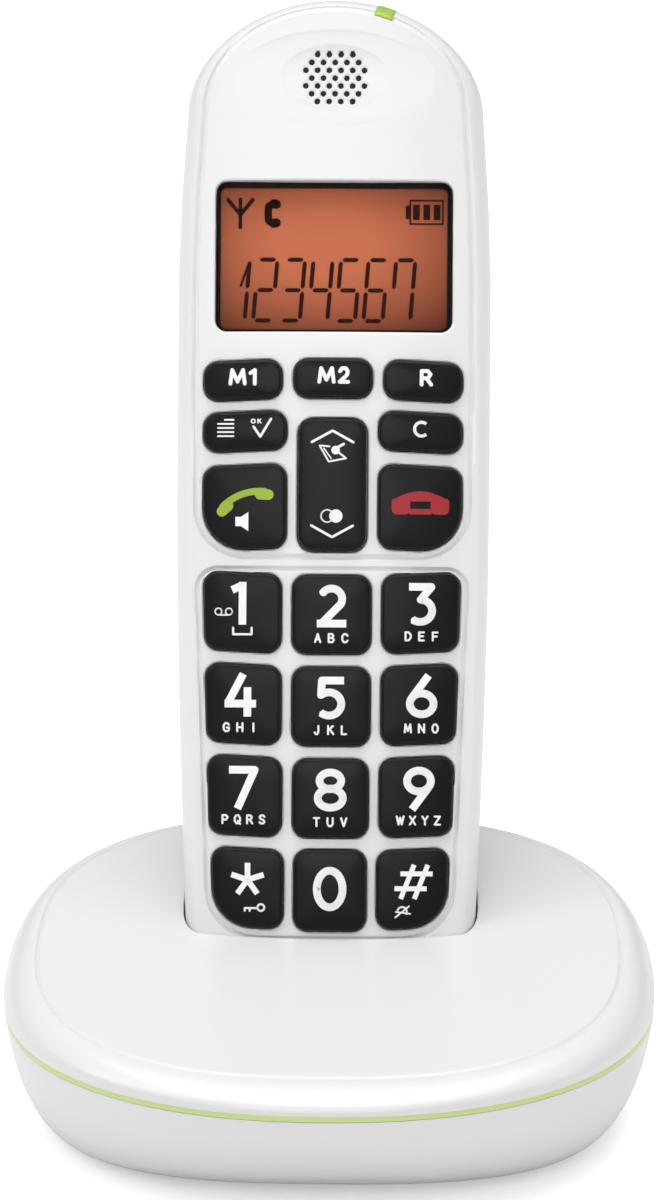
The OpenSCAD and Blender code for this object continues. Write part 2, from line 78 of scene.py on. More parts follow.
# The trim ring's box gives the base's middle and its half width and depth.
ring_low, ring_high = [[v / MM for v in corner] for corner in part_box("trim_ring")]
BASE_Y = (ring_low[1] + ring_high[1]) / 2
BASE_A, BASE_B = (ring_high[0] - ring_low[0]) / 2 - 0.15, (ring_high[1] - ring_low[1]) / 2 - 0.15
TRIM_Z, TRIM_H = (ring_low[2] + ring_high[2]) / 2, 1.5
HAND_FOOT = 7.8               # the handset's lower end, behind the base's middle
HAND_Y, HAND_Z = BASE_Y + HAND_FOOT, 15.7


def hand(p):
    """Points in the handset's own frame (mm) to the row frame (m)."""
    x, y, z = np.moveaxis(np.asarray(p, float), -1, 0)
    c, s = math.cos(LEAN), math.sin(LEAN)
    return np.stack([x, HAND_Y + y * c + z * s, HAND_Z - y * s + z * c], -1) * MM


def base(p):
    """Points in the base's own frame (mm) to the row frame (m)."""
    return (np.asarray(p, float) + (0, BASE_Y, 0)) * MM


def level(outline, z):
    """An outline in x and y as a ring at height z."""
    return np.stack([outline[:, 0], outline[:, 1], np.zeros(len(outline)) + z], -1)


def upright(outline, y):
    """An outline in x and z as a ring at depth y."""
    return np.stack([outline[:, 0], np.zeros(len(outline)) + y, outline[:, 1]], -1)


# ---------------------------------------------------------------- outlines
def rounded(corners, radii, grow=0.0, steps=7):
    """A polygon with its own radius at each corner, grown outward by grow."""
    n, out = len(corners), []
    corners = [np.array(c, float) for c in corners]
    for i in range(n):
        p, a, b = corners[i], corners[i - 1], corners[(i + 1) % n]
        u, v = (a - p) / np.linalg.norm(a - p), (b - p) / np.linalg.norm(b - p)
        m = (u + v) / np.linalg.norm(u + v)
        half = math.acos(max(-1, min(1, float(u @ v)))) / 2
        r = radii[i] + grow
        q = p - m * grow / math.sin(half)
        c = q + m * r / math.sin(half)
        s, e = q + u * r / math.tan(half) - c, q + v * r / math.tan(half) - c
        a0 = math.atan2(s[1], s[0])
        turn = (math.atan2(e[1], e[0]) - a0 + math.pi) % (2 * math.pi) - math.pi
        t = a0 + turn * np.arange(steps + 1) / steps
        out += list(c + r * np.stack([np.cos(t), np.sin(t)], -1))
    return np.array(out)


def box_corners(w, h, z=0.0, x=0.0):
    return [(x + i * w / 2, z + j * h / 2) for i, j in ((-1, -1), (1, -1), (1, 1), (-1, 1))]


def ellipse(a, b, x=0.0, z=0.0, n=48):
    t = np.linspace(0, 2 * math.pi, n, endpoint=False)
    return np.stack([x + a * np.cos(t), z + b * np.sin(t)], -1)


def signed_distance(x, z, poly):
    """Distance to a closed outline, negative inside it."""
    best, inside = np.full(x.shape, 1e9), np.zeros(x.shape, bool)
    for (ax, az), (bx, bz) in zip(poly, np.roll(poly, -1, 0)):
        ex, ez = bx - ax, bz - az
        t = np.clip(((x - ax) * ex + (z - az) * ez) / (ex * ex + ez * ez + 1e-12), 0, 1)
        best = np.minimum(best, np.hypot(x - ax - ex * t, z - az - ez * t))
        if ez != 0:
            inside ^= ((az > z) != (bz > z)) & (x < ex * (z - az) / ez + ax)
    return np.where(inside, -best, best)


def near(X, Z, poly, reach):
    """Which points lie in the outline's box, grown by reach."""
    low, high = poly.min(0) - reach, poly.max(0) + reach
    return (X > low[0]) & (X < high[0]) & (Z > low[1]) & (Z < high[1])


def cut(X, Z, D, poly, depth, lip=0.22, cell=0.2):
    """Sinks the surface inside an outline, and moves the grid's points next to the outline onto it."""
    m = near(X, Z, poly, 1.0)
    x, z = X[m], Z[m]
    d = signed_distance(x, z, poly)
    k = np.abs(d) < cell * 0.55
    e = 1e-3
    gx = (signed_distance(x[k] + e, z[k], poly) - d[k]) / e
    gz = (signed_distance(x[k], z[k] + e, poly) - d[k]) / e
    x[k] -= d[k] * gx
    z[k] -= d[k] * gz
    d[k] = 0
    X[m], Z[m] = x, z
    rounding = lip - np.sqrt(np.maximum(lip**2 - (lip - d) ** 2, 0))
    D[m] = np.maximum(D[m], np.where(d < 0, depth, np.where(d < lip, rounding, 0)))


def groove(X, Z, D, poly, half, depth):
    """A round-bottomed line along an outline."""
    m = near(X, Z, poly, half + 0.1)
    d = np.abs(signed_distance(X[m], Z[m], poly)) / half
    D[m] = np.maximum(D[m], depth * np.clip(1 - d * d, 0, 1))


# ---------------------------------------------------------------- meshes
def add_object(name, mesh, body):
    obj = bpy.data.objects.new(name, mesh)
    bpy.context.scene.collection.objects.link(obj)
    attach(obj, body)
    return obj


def new_object(name, verts, faces, body, sharp=40):
    """A smooth piece riding on a body; edges steeper than sharp degrees stay crisp."""
    mesh = bpy.data.meshes.new(name)
    mesh.from_pydata(verts.tolist(), [], faces)
    bm = bmesh.new()
    bm.from_mesh(mesh)
    bmesh.ops.recalc_face_normals(bm, faces=bm.faces)
    bm.to_mesh(mesh)
    bm.free()
    mesh.shade_smooth()
    mesh.set_sharp_from_angle(angle=math.radians(sharp))
    return add_object(name, mesh, body)


def grid_faces(rows, cols, closed=False):
    """Quads of a grid of rows by cols. A closed grid joins its last column to its first."""
    i, j = np.meshgrid(np.arange(rows - 1), np.arange(cols if closed else cols - 1), indexing="ij")
    k = (j + 1) % cols
    quads = np.stack([i * cols + j, i * cols + k, (i + 1) * cols + k, (i + 1) * cols + j], -1)
    return quads.reshape(-1, 4).tolist()


def loft(rings, ends=(0, -1)):
    """Vertices and faces of a tube through rings of equal length. Each end named closes in a fan to its middle."""
    n = len(rings[0])
    verts, faces = np.concatenate(rings), grid_faces(len(rings), n, True)
    for end in ends:
        first, mid = end % len(rings) * n, len(verts)
        verts = np.concatenate([verts, [rings[end].mean(0)]])
        faces += [[first + k, first + (k + 1) % n, mid] for k in range(n)]
    return verts, faces


def half_shell(name, P):
    """Half of the handset's shell from a grid of points, with its two ends closed."""
    rows, cols = P.shape[:2]
    ends = [list(range(cols)), list(range((rows - 1) * cols, rows * cols))]
    return new_object(name, hand(P.reshape(-1, 3)), grid_faces(rows, cols) + ends, "handset", 32)


def with_flanks(inner, flank, zs):
    """A grid of points with the same few columns, x and y each, added along both its long sides."""
    one = np.stack([np.stack([x, y + 0 * zs, zs], -1) for x, y in flank], 1)
    return np.concatenate([one, inner, one[:, ::-1] * (-1, 1, 1)], 1)


# ---------------------------------------------------------------- handset surfaces
# Shares of the length, and of the half width there.
WIDTH_AT = ([0, 0.09, 0.22, 0.3, 0.4, 0.5, 0.72, 0.8, 0.89, 1],
            [0.912, 0.928, 0.961, 0.978, 0.993, 1, 1, 0.982, 0.944, 0.9])


def side_width(z):
    """Half width of the sides, as if they ran on past the arch."""
    return HALF_W * np.interp(np.asarray(z, float) / LENGTH, *WIDTH_AT)


def half_width(z):
    """Half width of the handset, arch included."""
    u = np.clip((np.asarray(z, float) - ARCH_Z) / ARCH_H, 0, 1)
    return side_width(z) * np.sqrt(np.maximum(1 - u * u, 1e-4))


def from_edge(x, z):
    """Distance in from the outline seen from the front."""
    w, u = side_width(z), np.clip((np.asarray(z, float) - ARCH_Z) / ARCH_H, 0, None)
    x = np.abs(x)
    r = np.sqrt((x / w) ** 2 + u * u)
    steep = np.sqrt((x / w**2) ** 2 + (u / ARCH_H) ** 2) / np.maximum(r, 1e-6)
    return np.where(r < 0.05, w, (1 - r) / np.maximum(steep, 1e-3))


def end_round(d, edge, low):
    """Rises from low to 1 over the first edge millimetres, as a quarter circle does."""
    t = np.clip(d / edge, 0, 1)
    return low + (1 - low) * np.sqrt(np.maximum(1 - (1 - t) ** 2, 0))


def face_height(x, z):
    """How far the plain front surface stands out from the parting plane."""
    f = FRONT * end_round(z, 2.5, 0.75)
    t = np.clip(from_edge(x, z) / SHOULDER, 0, 1)
    low = 0.3 * f
    return low + (f - x * x / (2 * FACE_R) - low) * np.sqrt(np.maximum(1 - (1 - t) ** 2, 0))


def back_height(x, z):
    """How far the back surface stands out from the parting plane."""
    b = BACK * end_round(LENGTH - z, 16, 0.35) * end_round(z, 5, 0.7)
    q = np.clip(np.abs(x) / half_width(z), 0, 1)
    return b * np.power(np.maximum(1 - q**BACK_N, 0), 1 / BACK_N)


# ---------------------------------------------------------------- keys
# Rows of number keys from the bottom up: column pitch, outer and middle key width.
NUMBER_X = [13.3, 13.85, 14.2, 14.4]
NUMBER_SIDE = [11.5, 11.9, 12.2, 12.5]
NUMBER_MID = [11.7, 12.2, 12.6, 12.7]
ROW_PITCH, NUMBER_H, LOW_H = 14.85, 12.7, 6.3
BIG_R, KEY_R, LOW_R = 6.6, 2.3, 2.4
SMILE, FROWN = 0.0018, -0.0016    # bow of the key rows


def key_corners(x, z, w, h, bow, taper=0.0):
    out = []
    for cx, cz in ((-1, -1), (1, -1), (1, 1), (-1, 1)):
        px = x + cx * w / 2 + (cx * cz * taper if cx * x > 0 else 0)
        out.append((px, z + cz * h / 2 + bow * px * px))
    return out


def key_radii(low_left, low_right):
    return [BIG_R if low_left else KEY_R, BIG_R if low_right else KEY_R, KEY_R, KEY_R]


# Each key's corners, corner radii and the middle its legend is set out from.
KEYS = {}
for i, name in enumerate("1 2 3 4 5 6 7 8 9 star 0 hash".split()):
    row, col = 3 - i // 3, i % 3 - 1
    width = NUMBER_SIDE[row] if col else NUMBER_MID[row]
    height = NUMBER_H + (0.4 if name == "0" else 0.0)
    x, z = col * NUMBER_X[row], 18.3 + row * ROW_PITCH
    KEYS["key_" + name] = (key_corners(x, z, width, height, SMILE, 0.18),
                           key_radii(name == "star", name == "hash"), (x, z + SMILE * x * x))
for i, name in enumerate(["key_memory_1", "key_memory_2", "key_recall"]):
    x = (i - 1) * 14.6
    KEYS[name] = (key_corners(x, 101.2, 12.7, LOW_H, FROWN), [LOW_R] * 4, (x, 101.2 + FROWN * x * x))
for x, name in ((-14.2, "key_menu"), (14.2, "key_cancel")):
    KEYS[name] = (key_corners(x, 92.9, 13.5, LOW_H, FROWN), [LOW_R] * 4, (x, 92.6))
for x, name in ((-14.2, "key_call"), (14.2, "key_end")):
    KEYS[name] = (key_corners(x, 80.6, 13.5, 13.6, FROWN), key_radii(x < 0, x > 0), (x, 80.3))
KEYS["key_navigator"] = (key_corners(0, 83.9, 10.9, 21.3, 0), [LOW_R] * 4, (0, 83.9))


def flat_face(x):
    """The face's gentle curve across, without its rounded edges."""
    return FRONT - x * x / (2 * FACE_R)


def key_height(x, z):
    return flat_face(x) + PROUD


# ---------------------------------------------------------------- front cover
def panel_outline():
    """The line round the panel that carries the display and the function keys."""
    low = rounded([(-22.1, 72.3), (22.1, 72.3), (22.35, 105.7), (-22.35, 105.7)], [8.2, 8.2, 1, 1], 0, 12)
    low = [p for p in low if p[1] < 100]
    right = [(side_width(z) - PANEL_IN, z) for z in np.arange(103.0, ARCH_Z, 3.0)]
    wide, tall = side_width(ARCH_Z) - PANEL_IN, ARCH_H - PANEL_TOP_IN
    arch = [(wide * math.cos(a), ARCH_Z + tall * math.sin(a)) for a in np.linspace(0.0, math.pi, 64)]
    left = [(-x, z) for x, z in reversed(right)]
    return np.array([p for p in low if p[0] < 0] + [p for p in low if p[0] > 0] + right + arch + left)


def number_outline():
    """The line round the number keys."""
    return rounded([(-19.5, 10.6), (19.5, 10.6), (21.9, 70.3), (-21.9, 70.3)], [8.0, 8.0, 3.2, 3.2], 0, 10)


def front_cover():
    zs = np.concatenate([[0, 0.3, 0.7, 1.2, 1.8, 2.5, 3.4], np.arange(4.4, ARCH_Z + 9, 0.2),
                         ARCH_Z + ARCH_H * np.sin(np.radians(np.linspace(30.6, 89.0, 96)))])
    turn = np.radians(np.linspace(0, 90, 10))[1:]
    w = half_width(zs)
    xf = np.maximum(w - SHOULDER, 0.62 * w)[:, None]
    band = xf + (w[:, None] - xf) * np.sin(turn)
    X = np.concatenate([-band[:, ::-1], xf * np.linspace(-1, 1, 232), band], 1)
    Z = np.repeat(zs[:, None], X.shape[1], 1)
    D = np.zeros_like(X)
    for name, (corners, radii, _) in KEYS.items():
        cut(X, Z, D, rounded(corners, radii, ROCKER_GAP if name == "key_navigator" else GAP), KEY_POCKET)
    cut(X, Z, D, rounded(box_corners(WINDOW_W, WINDOW_H, WINDOW_Z), [2.0] * 4), WINDOW_POCKET)
    for x, z in hole_places():
        cut(X, Z, D, ellipse(EAR_HOLE_R, EAR_HOLE_R, x, z, 16), EAR_HOLE_DEPTH, 0.1)
    cut(X, Z, D, ellipse(EAR_HOLE_R, EAR_HOLE_R, 0, 8, 16), EAR_HOLE_DEPTH, 0.12)   # microphone
    D += dish(X, Z)
    groove(X, Z, D, panel_outline(), 0.45, 0.5)
    groove(X, Z, D, number_outline(), 0.42, 0.5)
    Y = -(face_height(X, Z) - D)
    edge = np.minimum(0.12, w * 0.2)
    low = -0.3 * FRONT * end_round(zs, 2.5, 0.75)
    flank = [(edge - w, -0.05), (-w, -0.22), (-w, low * 0.4), (-w, low * 0.75)]
    obj = half_shell("front_shell", with_flanks(np.stack([X, Y, Z], -1), flank, zs))
    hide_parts("handset_front_cover")
    return obj


def door_outline(grow=0.0):
    return rounded(box_corners(DOOR_W, DOOR_H, DOOR_Z), [DOOR_R] * 4, grow, 10)


def rear_cover():
    """The back shell: door recess over the cell bay, screw holes and the ringer's sound holes."""
    zs = np.concatenate([[0, 0.25, 0.6, 1.2, 2, 3, 4], np.arange(5, ARCH_Z + 5, 0.4),
                         ARCH_Z + ARCH_H * np.sin(np.radians(np.linspace(17, 89.0, 70)))])
    w = half_width(zs)
    steep = np.cos(np.radians(np.linspace(0, 44, 16))) ** (2 / BACK_N)
    out, flat = w[:, None] * steep[:-1], w[:, None] * np.linspace(steep[-1], -steep[-1], 130)
    X = np.concatenate([out, flat, -out[:, ::-1]], 1)
    Z = np.repeat(zs[:, None], X.shape[1], 1)
    D = np.zeros_like(X)
    cut(X, Z, D, door_outline(0.25), 2.1, 0.2, 0.35)
    for x, z in ((-15, 141), (-15, 7.5), (15, 141), (15, 7.5)):
        cut(X, Z, D, ellipse(SCREW_HOLE_R, SCREW_HOLE_R, x, z, 24), 3.2, 0.2, 0.35)
    for z, half in ((121, 2), (125, 3), (129, 2)):
        for c in range(-half, half + 1):
            cut(X, Z, D, ellipse(SOUND_HOLE_R, SOUND_HOLE_R, c * 2.6, z, 16), 1.5, 0.15, 0.35)
    Y = back_height(X, Z) - D
    bay = rounded(box_corners(24.4, 56, DOOR_Z), [1.5] * 4)
    Y = np.where(near(X, Z, bay, 0.5) & (signed_distance(X, Z, bay) < 0), 1.5, Y)
    Y[:, [0, -1]] = np.maximum(Y[:, [0, -1]], 0.35)
    edge = np.minimum(0.12, w * 0.2)
    obj = half_shell("rear_shell", with_flanks(np.stack([X, Y, Z], -1), [(w - edge, 0.05), (w, 0.22)], zs))
    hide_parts("handset_rear_cover")
    return obj


def slab(name, ring, height, under, bevel, body, sign=-1, pillow=0.0, taper=0.0):
    """A plate with a rounded top edge. ring(grow) is its outline, height(x, z) its top, under the depth
    of its sides, sign the side of the parting plane it faces, and taper draws its underside in."""
    full = ring(-taper)
    mid = full.mean(0)
    rings = [upright(full, sign * (height(*full.T) - under))]
    for a in np.linspace(0, math.pi / 2, 6):
        o = ring(-bevel * (1 - math.cos(a)))
        rings.append(upright(o, sign * (height(*o.T) - pillow - bevel * (1 - math.sin(a)))))
    o = ring(-bevel)
    for share in (0.93, 0.84, 0.72, 0.58, 0.42, 0.25, 0.1):
        p = mid + (o - mid) * share
        rings.append(upright(p, sign * (height(*p.T) - pillow * share**2.4)))
    verts, faces = loft(rings)
    return new_object(name, hand(verts), faces, body, 50)


def key_cap(name):
    corners, radii, _ = KEYS[name]
    obj = slab(name + "_cap", lambda grow: rounded(corners, radii, grow), key_height, 3.2, KEY_BEVEL,
               name, pillow=KEY_PILLOW, taper=0.3)
    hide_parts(name)
    return obj


def battery_door():
    obj = slab("battery_door", door_outline, back_height, 1.8, 0.3, "battery_cover", sign=1)
    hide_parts("battery_cover")
    return obj


# ---------------------------------------------------------------- display
def window_pane():
    obj = slab("window_pane", lambda grow: rounded(box_corners(PANE_W, PANE_H, WINDOW_Z), [1.9] * 4, grow),
               lambda x, z: flat_face(x) - 0.45, 1.2, 0.25, "handset")
    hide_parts("display_window")
    return obj


def window_mask_and_rim_shadow():
    """The black mask round the display, under the window's edge; its band is wider at the top and right, and that extra
    width is painted shadow of the window's rim.
    """
    outer = rounded(box_corners(PANE_W, PANE_H, WINDOW_Z), [1.9] * 4)
    # the inner edge sits further in at the top and right than at the left and bottom: painted shadow of the window's
    # rim
    left, right, low, high = -18.45, 18.35, WINDOW_Z - 11.8, WINDOW_Z + 11.2
    inner = rounded([(left, low), (right, low), (right, high), (left, high)], [1.0] * 4)
    section = ((outer, 2.2), (outer, 1.72), (inner, 1.72), (inner, 2.2))     # outline and depth under the face
    rings = [upright(o, deep - flat_face(o[:, 0])) for o, deep in section]
    n = len(outer)
    faces = grid_faces(4, n, True) + [[3 * n + k, 3 * n + (k + 1) % n, (k + 1) % n, k] for k in range(n)]
    obj = new_object("window_mask_and_painted_shadow", hand(np.concatenate(rings)), faces, "handset")
    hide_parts("display_mask")
    return obj


def display_panel():
    obj = slab("display_panel", lambda grow: rounded(box_corners(38.2, 24.4, WINDOW_Z), [0.8] * 4, grow),
               lambda x, z: LCD_Y, 1.4, 0.15, "handset")
    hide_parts("lcd_panel")
    return obj


def hole_places():
    """Middles of the earpiece's sound holes, in seven rows."""
    counts = [4, 5, 6, 5, 6, 5, 4]
    return [((c - (count - 1) / 2) * 1.9, EAR_Z + (r - 3) * 1.27) for r, count in enumerate(counts)
            for c in range(count)]


def dish(x, z):
    """Depth of the shallow oval the ear rests on."""
    deep = 0.0
    for a, b, d in ((16.2, 7.8, 0.32), (8.8, 5.4, 0.28)):
        deep = deep + d * np.clip(1 - (x / a) ** 2 - ((z - EAR_Z) / b) ** 2, 0, 1) ** 0.7
    return deep


# Centre lines of plain capitals in a unit box.
GLYPHS = {
    "A": [[(0, 0), (0.5, 1), (1, 0)], [(0.2, 0.33), (0.8, 0.33)]],
    "B": [[(0, 0), (0, 1), (0.65, 1), (0.9, 0.76), (0.65, 0.53), (0, 0.53)],
          [(0.65, 0.53), (1, 0.27), (0.7, 0), (0, 0)]],
    "C": [[(1, 0.8), (0.72, 1), (0.3, 1), (0, 0.72), (0, 0.28), (0.3, 0), (0.72, 0), (1, 0.2)]],
    "D": [[(0, 0), (0, 1), (0.6, 1), (1, 0.68), (1, 0.32), (0.6, 0), (0, 0)]],
    "E": [[(0.9, 1), (0, 1), (0, 0), (0.9, 0)], [(0, 0.52), (0.75, 0.52)]],
    "F": [[(0.9, 1), (0, 1), (0, 0)], [(0, 0.5), (0.75, 0.5)]],
    "G": [[(1, 0.8), (0.72, 1), (0.3, 1), (0, 0.72), (0, 0.28), (0.3, 0), (0.75, 0), (1, 0.15),
           (1, 0.46), (0.6, 0.46)]],
    "H": [[(0, 0), (0, 1)], [(1, 0), (1, 1)], [(0, 0.5), (1, 0.5)]],
    "I": [[(0.5, 0), (0.5, 1)]],
    "J": [[(0.75, 1), (0.75, 0.25), (0.55, 0), (0.2, 0), (0.05, 0.2)]],
    "K": [[(0, 0), (0, 1)], [(0.9, 1), (0, 0.42)], [(0.3, 0.62), (1, 0)]],
    "L": [[(0, 1), (0, 0), (0.85, 0)]],
    "M": [[(-0.1, 0), (0.05, 1), (0.5, 0.15), (0.95, 1), (1.1, 0)]],
    "N": [[(0, 0), (0, 1), (1, 0), (1, 1)]],
    "O": [[(0.3, 1), (0.7, 1), (1, 0.7), (1, 0.3), (0.7, 0), (0.3, 0), (0, 0.3), (0, 0.7), (0.3, 1)]],
    "P": [[(0, 0), (0, 1), (0.7, 1), (1, 0.75), (0.7, 0.45), (0, 0.45)]],
    "Q": [[(0.3, 1), (0.7, 1), (1, 0.7), (1, 0.3), (0.7, 0), (0.3, 0), (0, 0.3), (0, 0.7), (0.3, 1)],
          [(0.6, 0.3), (1.05, -0.08)]],
    "R": [[(0, 0), (0, 1), (0.65, 1), (0.92, 0.75), (0.65, 0.47), (0, 0.47)], [(0.5, 0.47), (1, 0)]],
    "S": [[(0.95, 0.84), (0.7, 1), (0.28, 1), (0.03, 0.78), (0.28, 0.55), (0.72, 0.45), (0.97, 0.22), (0.72, 0),
           (0.28, 0), (0.03, 0.16)]],
    "T": [[(0, 1), (1, 1)], [(0.5, 1), (0.5, 0)]],
    "U": [[(0, 1), (0, 0.28), (0.28, 0), (0.72, 0), (1, 0.28), (1, 1)]],
    "V": [[(0, 1), (0.5, 0), (1, 1)]],
    "W": [[(-0.15, 1), (0.2, 0), (0.5, 0.85), (0.8, 0), (1.15, 1)]],
    "X": [[(0, 0), (1, 1)], [(0, 1), (1, 0)]],
    "Y": [[(0, 1), (0.5, 0.5), (1, 1)], [(0.5, 0.5), (0.5, 0)]],
    "Z": [[(0, 1), (1, 1), (0, 0), (1, 0)]],
    "1": [[(0.65, 0), (0.65, 1), (0.1, 0.78)]],
    "2": [[(0.05, 0.78), (0.28, 1), (0.72, 1), (0.95, 0.78), (0.85, 0.5), (0.03, 0), (1, 0)]],
}


class Ink:
    """Flat printed shapes, gathered into one mesh. A shape's points are x and z in the face's plane."""

    def __init__(self):
        self.verts, self.faces = [], []

    def poly(self, pts):
        start = len(self.verts)
        self.verts += [tuple(p) for p in pts]
        self.faces.append(list(range(start, start + len(pts))))

    def line(self, pts, width, closed=False, round_ends=True):
        """A stroke of even width, in short quads that follow a curved key, with a disc on each joint."""
        pts = [np.array(p, float) for p in pts]
        for a, b in zip(pts, pts[1:] + pts[:1] if closed else pts[1:]):
            d = b - a
            n = np.array([-d[1], d[0]]) / (np.linalg.norm(d) + 1e-9) * width / 2
            cuts = max(int(math.ceil(np.linalg.norm(d) / 0.7)), 1)
            for k in range(cuts):
                p, q = a + d * k / cuts, a + d * (k + 1) / cuts
                self.poly([p - n, q - n, q, p])
                self.poly([p, q, q + n, p + n])
        for p in pts if closed or round_ends else pts[1:-1]:
            self.disc(p, width / 2)

    def disc(self, c, r, n=14):
        self.poly(ellipse(r, r, c[0], c[1], n))

    def write(self, glyph, x, z, w, h, stroke):
        """A stroke letter in a box w by h centred on x, z, both measured between the strokes' middles."""
        for path in GLYPHS[glyph]:
            self.line([(x + (a - 0.5) * w, z + (b - 0.5) * h) for a, b in path], stroke)

    def build(self, name, height, body, slot):
        v = np.array(self.verts)
        bm = bmesh.new()
        pts = [bm.verts.new(p) for p in hand(upright(v, -height(*v.T)))]
        out = Vector((0, -math.cos(LEAN), math.sin(LEAN)))
        for f in self.faces:
            face = bm.faces.new([pts[k] for k in f])
            face.normal_update()
            if face.normal.dot(out) < 0:
                face.normal_flip()
        mesh = bpy.data.meshes.new(name)
        bm.to_mesh(mesh)
        bm.free()
        return add_object(name, mesh, body)


# Ends of a seven-bar digit's bars as shares of its box, and the bars that each digit lights.
BARS = {"a": ((0, 1), (1, 1)), "g": ((0, 0.5), (1, 0.5)), "d": ((0, 0), (1, 0)), "f": ((0, 0.5), (0, 1)),
        "b": ((1, 0.5), (1, 1)), "e": ((0, 0), (0, 0.5)), "c": ((1, 0), (1, 0.5))}
LIT = {"1": "bc", "2": "abged", "3": "abgcd", "4": "fgbc", "5": "afgcd", "6": "afgedc", "7": "fabc"}


def seven_segments(ink, digit, x, z, w, h, t, slant):
    """A thin slanted seven-bar digit; x, z is its lower left corner and t its bars' width."""
    for bar in LIT[digit]:
        a, b = np.array(BARS[bar]) * (w, h)
        d = (b - a) / np.linalg.norm(b - a)
        a, b = a + d * t * 0.8, b - d * t * 0.8
        n = np.array([-d[1], d[0]]) * t / 2
        pts = [a - d * t * 0.5, a - n, b - n, b + d * t * 0.5, b + n, a + n]
        ink.poly([(x + p[0] + p[1] * slant, z + p[1]) for p in pts])


def display_ink():
    """The display's digits and its plain signs: aerial, receiver and battery."""
    ink = Ink()
    line = ink.line
    for k, digit in enumerate("1234567"):
        seven_segments(ink, digit, -17.6 + 4.48 * k, 110.7, 3.1, 9.9, 0.68, 0.08)
    line([(-15.2, 116.2), (-14.0, 119.6)], 0.4, round_ends=False)
    x, z = -15.3, 128.1                       # aerial
    line([(x, z - 2.3), (x, z + 2.3)], 0.6)
    line([(x - 2.0, z + 2.2), (x, z - 0.2), (x + 2.0, z + 2.2)], 0.66)
    x, z = -10.2, 128.1                       # receiver
    line([(x + 0.5, z + 1.7), (x - 0.5, z + 1.2), (x - 0.6, z), (x - 0.5, z - 1.2), (x + 0.5, z - 1.7)], 1.2)
    line([(x + 0.3, z + 1.6), (x + 0.75, z + 1.5)], 1.5)
    line([(x + 0.3, z - 1.6), (x + 0.75, z - 1.5)], 1.5)
    x, z = 14.7, 128.4                        # battery
    line([(x - 2.4, z - 1.9), (x + 2.9, z - 1.9), (x + 2.9, z + 1.9), (x - 2.4, z + 1.9)], 0.28, closed=True)
    line([(x - 2.8, z - 0.8), (x - 2.8, z + 0.8)], 0.7)
    for k in range(3):
        line([(x - 1.4 + k * 1.68, z - 1.25), (x - 1.4 + k * 1.68, z + 1.25)], 1.1, round_ends=False)
    return ink.build("display_figures", lambda x, z: LCD_Y + 0.04, "handset", "black_film")


def ear_cloth():
    """Dark cloth just under the sound holes."""
    ink = Ink()
    for x, z in hole_places():
        ink.disc((x, z), 0.56, 16)
    obj = ink.build("earpiece_cloth", lambda x, z: face_height(x, z) - dish(x, z) - 0.3, "handset", "felt")
    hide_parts("earpiece_felt")
    return obj


# ---------------------------------------------------------------- legends
def key_top(corners):
    """Height of a key's softly domed top, and a hair more for the print on it."""
    c = np.array(corners)
    mid, half = (c.max(0) + c.min(0)) / 2, (c.max(0) - c.min(0)) / 2 - KEY_BEVEL

    def height(x, z):
        share = (np.abs((x - mid[0]) / half[0]) ** 6 + np.abs((z - mid[1]) / half[1]) ** 6) ** (1 / 6)
        return key_height(x, z) - KEY_PILLOW * np.minimum(share, 1) ** 2.4 + 0.035

    return height


LETTERS = dict(zip("23456789", "ABC DEF GHI JKL MNO PQRS TUV WXYZ".split()))


def arc(cx, cz, r, a0, a1, n=12, squash=1.0):
    t = np.radians(np.linspace(a0, a1, n + 1))
    return list(zip(cx + r * np.cos(t), cz + squash * r * np.sin(t)))


BAR = 1.24                                    # stroke of the big digits


def digit_strokes(d):
    """Centre lines of a bold digit 6.9 mm tall, about its middle."""
    top, low = 3.45 - BAR / 2, -3.45 + BAR / 2
    if d == "1":
        return [[(0.0, 3.45), (0.0, -3.45)], [(0.05, 2.95), (-1.7, 2.15)]]
    if d == "2":
        return [arc(0.0, 1.15, 1.72, 152, -30, 16, 0.98) + [(-1.6, low)], [(-2.35, low), (2.4, low)]]
    if d == "3":
        return [[(-2.1, top), (1.5, top), (-0.2, 0.75)] + arc(-0.3, -1.02, 1.95, 80, -128, 18, 0.93)]
    if d == "4":
        return [[(0.5, 3.45), (-2.0, -1.35)], [(-2.5, -1.35), (2.6, -1.35)], [(1.2, 1.3), (1.2, -3.45)]]
    if d == "5":
        return [[(2.1, top), (-1.45, top), (-1.6, 0.5)] + arc(-0.3, -0.95, 1.98, 112, -132, 18, 0.95)]
    if d == "6":
        return [[(1.1, 3.4), (-1.55, -0.2)], arc(0.0, -1.2, 1.92, 0, 350, 30, 0.88)]
    if d == "7":
        return [[(-2.4, top), (1.75, top), (-1.0, -3.45)]]
    if d == "8":
        return [arc(0.0, 1.5, 1.75, 0, 350, 26, 0.77), arc(0.0, -1.3, 2.03, 0, 350, 28, 0.76)]
    if d == "9":
        return [[(-x, -z) for x, z in stroke] for stroke in digit_strokes("6")]
    return [arc(0.0, 0.0, 2.08, 0, 350, 36, 1.42)]


NUDGE = {"4": -0.5, "6": 0.45, "9": 0.45, "3": 0.2, "7": -0.15}   # of a key's marks to the side


def turned(pts, cx, cz, tilt):
    c, n = math.cos(math.radians(tilt)), math.sin(math.radians(tilt))
    return [(cx + x * c - z * n, cz + x * n + z * c) for x, z in pts]


